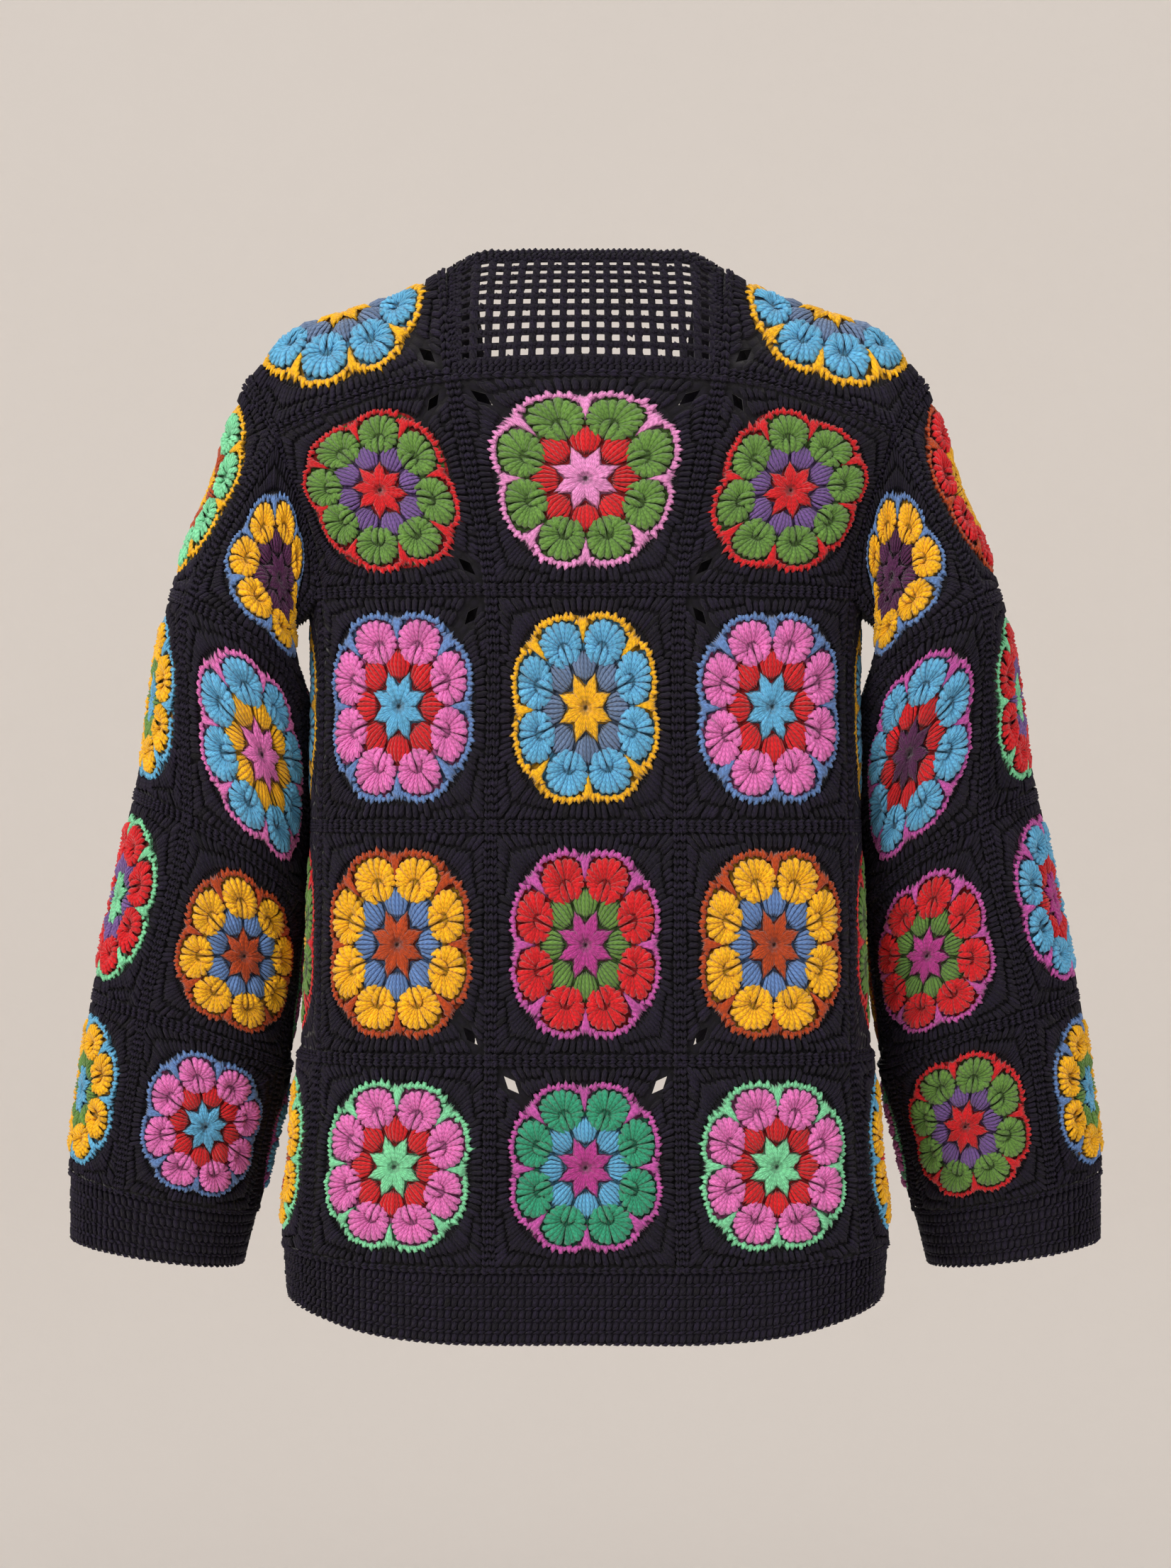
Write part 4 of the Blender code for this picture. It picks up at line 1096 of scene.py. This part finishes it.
def newMaterial(name, roughness, sheen=0.0):
    material = bpy.data.materials.new(name)
    material.use_nodes = True
    shader = material.node_tree.nodes["Principled BSDF"]
    for socket, value in (("Roughness", roughness), ("Sheen Weight", sheen), ("Sheen Roughness", 0.5),
                          ("Specular IOR Level", 0.25)):
        shader.inputs[socket].default_value = value
    return material, material.node_tree, shader


def ramp(wire, span):
    # from span's first number, up by its second as the wire goes from 0 to 1
    return wire * span[1] + span[0]


def shaded(tree, colour, gain):
    # a colour darkened by a gain
    grey = put(tree, "ShaderNodeCombineColor", Red=gain, Green=gain, Blue=gain)
    return blend(tree, 1.0, colour, grey, "MULTIPLY")


def bumped(tree, shader, height, strength, distance):
    bump = put(tree, "ShaderNodeBump", Height=height, Strength=strength, Distance=distance)
    feed(shader.inputs["Normal"], bump)


yarnLook = {
    "fibre": {"Scale": 1400.0, "Detail": 3.0, "Roughness": 0.65}, "fibreGain": (0.65, 0.7),
    "mottle": {"Scale": 120.0, "Detail": 2.0}, "mottleGain": (0.75, 0.5), "plyRelief": 0.7,
    "fibreRelief": 0.5,
    "bump": (0.7, 0.6 * mm),   # strength and distance
}


def yarnMaterial(name, roughness, sheen, paintedGrooveShade, plyPitch):
    # twisted yarn: plies wind along each strand's own UV, with painted shade that darkens the grooves between
    # them, and fibre noise over all
    look = yarnLook
    material, tree, shader = newMaterial(name, roughness, sheen)
    along, around = coordinates(tree, "yarn")
    turns = along * (2 * math.pi * cm / plyPitch) + around * (4 * math.pi)
    ply = calc("ABSOLUTE", calc("SINE", turns * 0.5))
    fibre, mottle = noise(tree, **look["fibre"]), noise(tree, **look["mottle"])
    gain = ramp(mottle, look["mottleGain"]) * ramp(fibre, look["fibreGain"])
    # painted shade: the colour is darker in the grooves between the plies
    gain = ramp(ply, (1.0 - paintedGrooveShade, paintedGrooveShade)) * gain
    feed(shader.inputs["Base Color"], shaded(tree, attribute(tree, "yarnColour"), gain))
    bumped(tree, shader, ply * look["plyRelief"] + fibre * look["fibreRelief"], *look["bump"])
    return material


clothLook = {
    "lobePower": 9.0,          # how narrow the notches between the petals are
    "rings": (                 # yarn, outer radius, and what a petal's lobe adds and a notch takes off
        ("star", 0.29, 0.05, 0.0),
        ("smallPetal", 0.54, -0.06, 0.0),
        ("petal", 0.93, 0.02, 0.26),
        ("outline", 0.965, 0.0, 0.05),
    ),
    "ribs": 48.0,              # stitch ribs by angle, and rows by radius
    "rows": 22.0, "ribPaintedShade": (0.12, 0.35), "fibre": {"Scale": 900.0, "Detail": 3.0},
    "fibreGain": (0.6, 0.8), "fibreRelief": 0.5, "bump": (0.6, 1.0 * mm),
}


def clothMaterial():
    # the squares' cloth: rings of colour by radius and angle on the square's UV, with radial stitch ribs; its
    # colour is painted darker all over and darkest between the ribs, as painted shade beneath and between the
    # yarn
    look = clothLook
    material, tree, shader = newMaterial("flowerClothYarn", 0.9, 0.2)
    a, b = (calc("ABSOLUTE", calc("DIVIDE", part, square[share]))
            for part, share in zip(coordinates(tree, "square"), ("flowerWide", "flowerTall")))
    circle, edge = (calc("POWER", calc("POWER", a, power) + calc("POWER", b, power), 1 / power)
                    for power in (2.0, square["squared"]))
    nearness = calc("MINIMUM", circle, 1.0)
    radius = edge * nearness + circle * (1.0 - nearness)
    angle = calc("ARCTAN2", b, a)
    lobes = calc("COSINE", angle * petalCount + math.pi)
    notch = calc("POWER", (1.0 - lobes) * 0.5, look["lobePower"])
    beyond = [attribute(tree, ring[0] + "Colour") for ring in look["rings"]] + [(*linear("black"), 1.0)]
    shown = beyond.pop(0)
    for (_, outer, lobed, notched), following in zip(look["rings"], beyond):
        outer = lobes * lobed + outer - notch * notched
        shown = blend(tree, calc("GREATER_THAN", radius, outer), shown, following)
    fibre = noise(tree, **look["fibre"])
    ribs, rows = (calc("ABSOLUTE", calc("SINE", place * look[key]))
                  for place, key in ((angle, "ribs"), (radius, "rows")))
    # painted shade: the cloth's colour is kept under half its yarn's and falls lower between the ribs and
    # rows
    gain = ramp(ribs * rows, look["ribPaintedShade"]) * ramp(fibre, look["fibreGain"])
    feed(shader.inputs["Base Color"], shaded(tree, shown, gain))
    bumped(tree, shader, ribs * rows + fibre * look["fibreRelief"], *look["bump"])
    return material


materials = {                  # roughness, sheen, how dark the painted shade in the grooves between plies is, length of a ply's turn
    "flower": yarnMaterial("flowerYarn", 0.80, 0.22, 0.34, 3.2 * mm),
    "black": yarnMaterial("blackYarn", 0.75, 0.04, 0.55, 3.0 * mm),
    "cloth": clothMaterial(),
}
print("materials made")

# Opened corner gaps: column, row, corner.
backGaps = [(1, 0, 2), (1, 0, 3), (0, 0, 3), (2, 0, 2), (0, 0, 0), (2, 0, 1), (0, 2, 0), (2, 2, 1), (1, 3, 3),
            (1, 3, 2), (0, 1, 3), (2, 1, 2)]
cuffFoot, hemFoot = 4.0 + cut["cuffRows"], 4.0 + cut["hemRows"]
total = dressSquares("back", body, 1, -1.5, 3, 0.0, 4, bodyCreases, gaps=backGaps,
                     tilts={(0, 0): -7.0, (2, 0): 9.0})
for side, mirrored in (("left", False), ("right", True)):
    creases = [(-u0, v0, -u1, v1, *size) if mirrored else (u0, v0, u1, v1, *size)
               for u0, v0, u1, v1, *size in bodyCreases]
    total += dressSquares("side_" + side, body, 1, 1.5, 1, 1.0, 3, creases, mirrored,
                          pressed=[(0, 0), (0, 1)])
    total += dressSquares("front_" + side, body, 1, 2.5, 1, 0.0, 4, creases, mirrored)
    total += dressSquares("shoulder_" + side, shoulder, -1, 0.0, 1, 0.0, 1, (), mirrored, gaps=[(0, 0, 2)])
    total += dressSquares("sleeve_" + side, sleeve, -1, 0.0, 4, 0.0, 4, sleeveCreases, mirrored,
                          pressed=[(2, 0), (2, 1), (2, 2)], wraps=True,
                          nodes=("sleeve_upper_" + side, "sleeve_lower_" + side))
    total += dressBand("cuff_" + side, sleeve, -1, (0.0, 4.0), (4.0, cuffFoot), (48, 6), (0.35, 0.04), "u", 5,
                       mirrored=mirrored, wraps=True)
    total += dressBand("front_band_" + side, frontBand, 1, (0.0, 1.0), (-1.0, hemFoot), (4, 70),
                       (0.70, 0.022), "v", 3, mirrored=mirrored)
total += dressBand("hem_band", body, 1, (-3.5, 3.5), (4.0, hemFoot), (98, 6), (0.81, 0.045), "u", 6,
                   bodyCreases)
netU = netLines(-0.5, 0.5, net["columns"], net["side"], net["side"])
netV = netLines(0.0, 1.0, net["rows"], net["top"], net["bottom"])
netHoles = [(2 * i + 1, 2 * j + 1) for i in range(net["columns"]) for j in range(net["rows"])]
total += dressBand("neck_yoke", yoke, 1, (-0.5, 0.5), (0.0, 1.0), None, None, "u", 0, openCells=netHoles,
                   lines=(netU, netV),
                   yarn=netCords(np.random.default_rng(17)))
print(f"the garment's pieces have {total} triangles")


# The room: one round backdrop that curves from a pale floor into a plain plaster wall.
room = {
    "radius": 4.6, "cove": 0.7, "floor": -1.75, "top": 3.4, "turns": 96, "floorRings": 6,
    "coveRings": 13, "wallRings": 4, "colour": (0.78, 0.745, 0.715, 1.0),
    "patch": (0.82, 0.79, 0.765, 1.0), "cloud": {"Scale": 0.55, "Detail": 5.0, "Roughness": 0.6},
    "grain": {"Scale": 9.0, "Detail": 6.0}, "bump": (0.25, 0.01),
    "daylight": (1.0, 0.97, 0.94, 1.0), "daylightPower": 0.82,
}
lamps = (                      # name, place, size, power, colour
    ("key", (1.9, 2.3, 1.25), 1.5, 72.0, (1.0, 0.965, 0.92)),
    ("fill", (-2.4, 2.0, 0.3), 2.2, 16.0, (0.93, 0.96, 1.0)),
    ("frontFill", (0.6, -2.6, 0.8), 2.0, 30.0, (1.0, 0.98, 0.95)),
)
lampsAim = (0.0, 0.0, -0.35)
view = {
    "lens": 81.0, "sensor": 36.0, "place": (0.0, 2.25, -0.337), "aim": (0.0, 0.0, -0.337),
}


def makeBackdrop():
    # a profile turned round +Z: flat floor, quarter-circle cove, upright wall
    cove, turns = room["cove"], room["turns"]
    bend = np.linspace(-math.pi / 2, 0, room["coveRings"])
    inner = room["radius"] - cove
    r = np.concatenate([np.linspace(0.0, inner, room["floorRings"] + 2)[1:-1], inner + cove * np.cos(bend),
                        [room["radius"]] * room["wallRings"]])
    wall = np.linspace(cove, room["top"] - room["floor"], room["wallRings"] + 1)[1:]
    z = np.concatenate([np.zeros(room["floorRings"]), cove + cove * np.sin(bend), wall]) + room["floor"]
    angle = 2 * math.pi * np.arange(turns) / turns
    rings = np.stack([r[:, None] * np.cos(angle), r[:, None] * np.sin(angle),
                      np.repeat(z[:, None], turns, 1)], 2)
    places = np.concatenate([[[0, 0, room["floor"]]], rings.reshape(-1, 3)])
    here = 1 + np.arange(len(r) - 1)[:, None] * turns + np.arange(turns)
    after = 1 + np.arange(len(r) - 1)[:, None] * turns + (np.arange(turns) + 1) % turns
    faces = np.concatenate([
        np.stack([np.zeros(turns, int), 1 + np.arange(turns), 1 + (np.arange(turns) + 1) % turns], 1),
        np.stack([here, here + turns, after + turns], 2).reshape(-1, 3),
        np.stack([here, after + turns, after], 2).reshape(-1, 3)])
    material, tree, shader = newMaterial("plaster", 0.95)
    cloud = noise(tree, **room["cloud"])
    feed(shader.inputs["Base Color"], blend(tree, cloud, room["colour"], room["patch"]))
    bumped(tree, shader, noise(tree, **room["grain"]), *room["bump"])
    thing, _ = makeMesh("backdrop", places, faces, material)


def place(thing, location, target):
    # puts a light or camera in the scene and turns it to look at a point
    bpy.context.scene.collection.objects.link(thing)
    thing.location = location
    direction = np.array(target) - np.array(location)
    flat = math.hypot(direction[0], direction[1])
    thing.rotation_euler = (math.pi / 2 + math.atan2(direction[2], flat), 0.0,
                            math.atan2(direction[1], direction[0]) - math.pi / 2)


def makeLights():
    for name, location, size, power, colour in lamps:
        lamp = bpy.data.lights.new(name, "AREA")
        lamp.size = size
        lamp.energy = power
        lamp.color = colour
        place(bpy.data.objects.new(name, lamp), location, lampsAim)
    world = bpy.data.worlds.new("room")
    world.use_nodes = True
    world.node_tree.nodes["Background"].inputs[0].default_value = room["daylight"]
    world.node_tree.nodes["Background"].inputs[1].default_value = room["daylightPower"]
    bpy.context.scene.world = world


def makeCamera():
    lens = bpy.data.cameras.new("camera")
    lens.lens = view["lens"]
    lens.sensor_width = view["sensor"]
    thing = bpy.data.objects.new("camera", lens)
    place(thing, view["place"], view["aim"])
    bpy.context.scene.camera = thing


makeBackdrop()
makeLights()
makeCamera()
bpy.context.scene.view_settings.view_transform = "Standard"
print("room, lights and camera made")
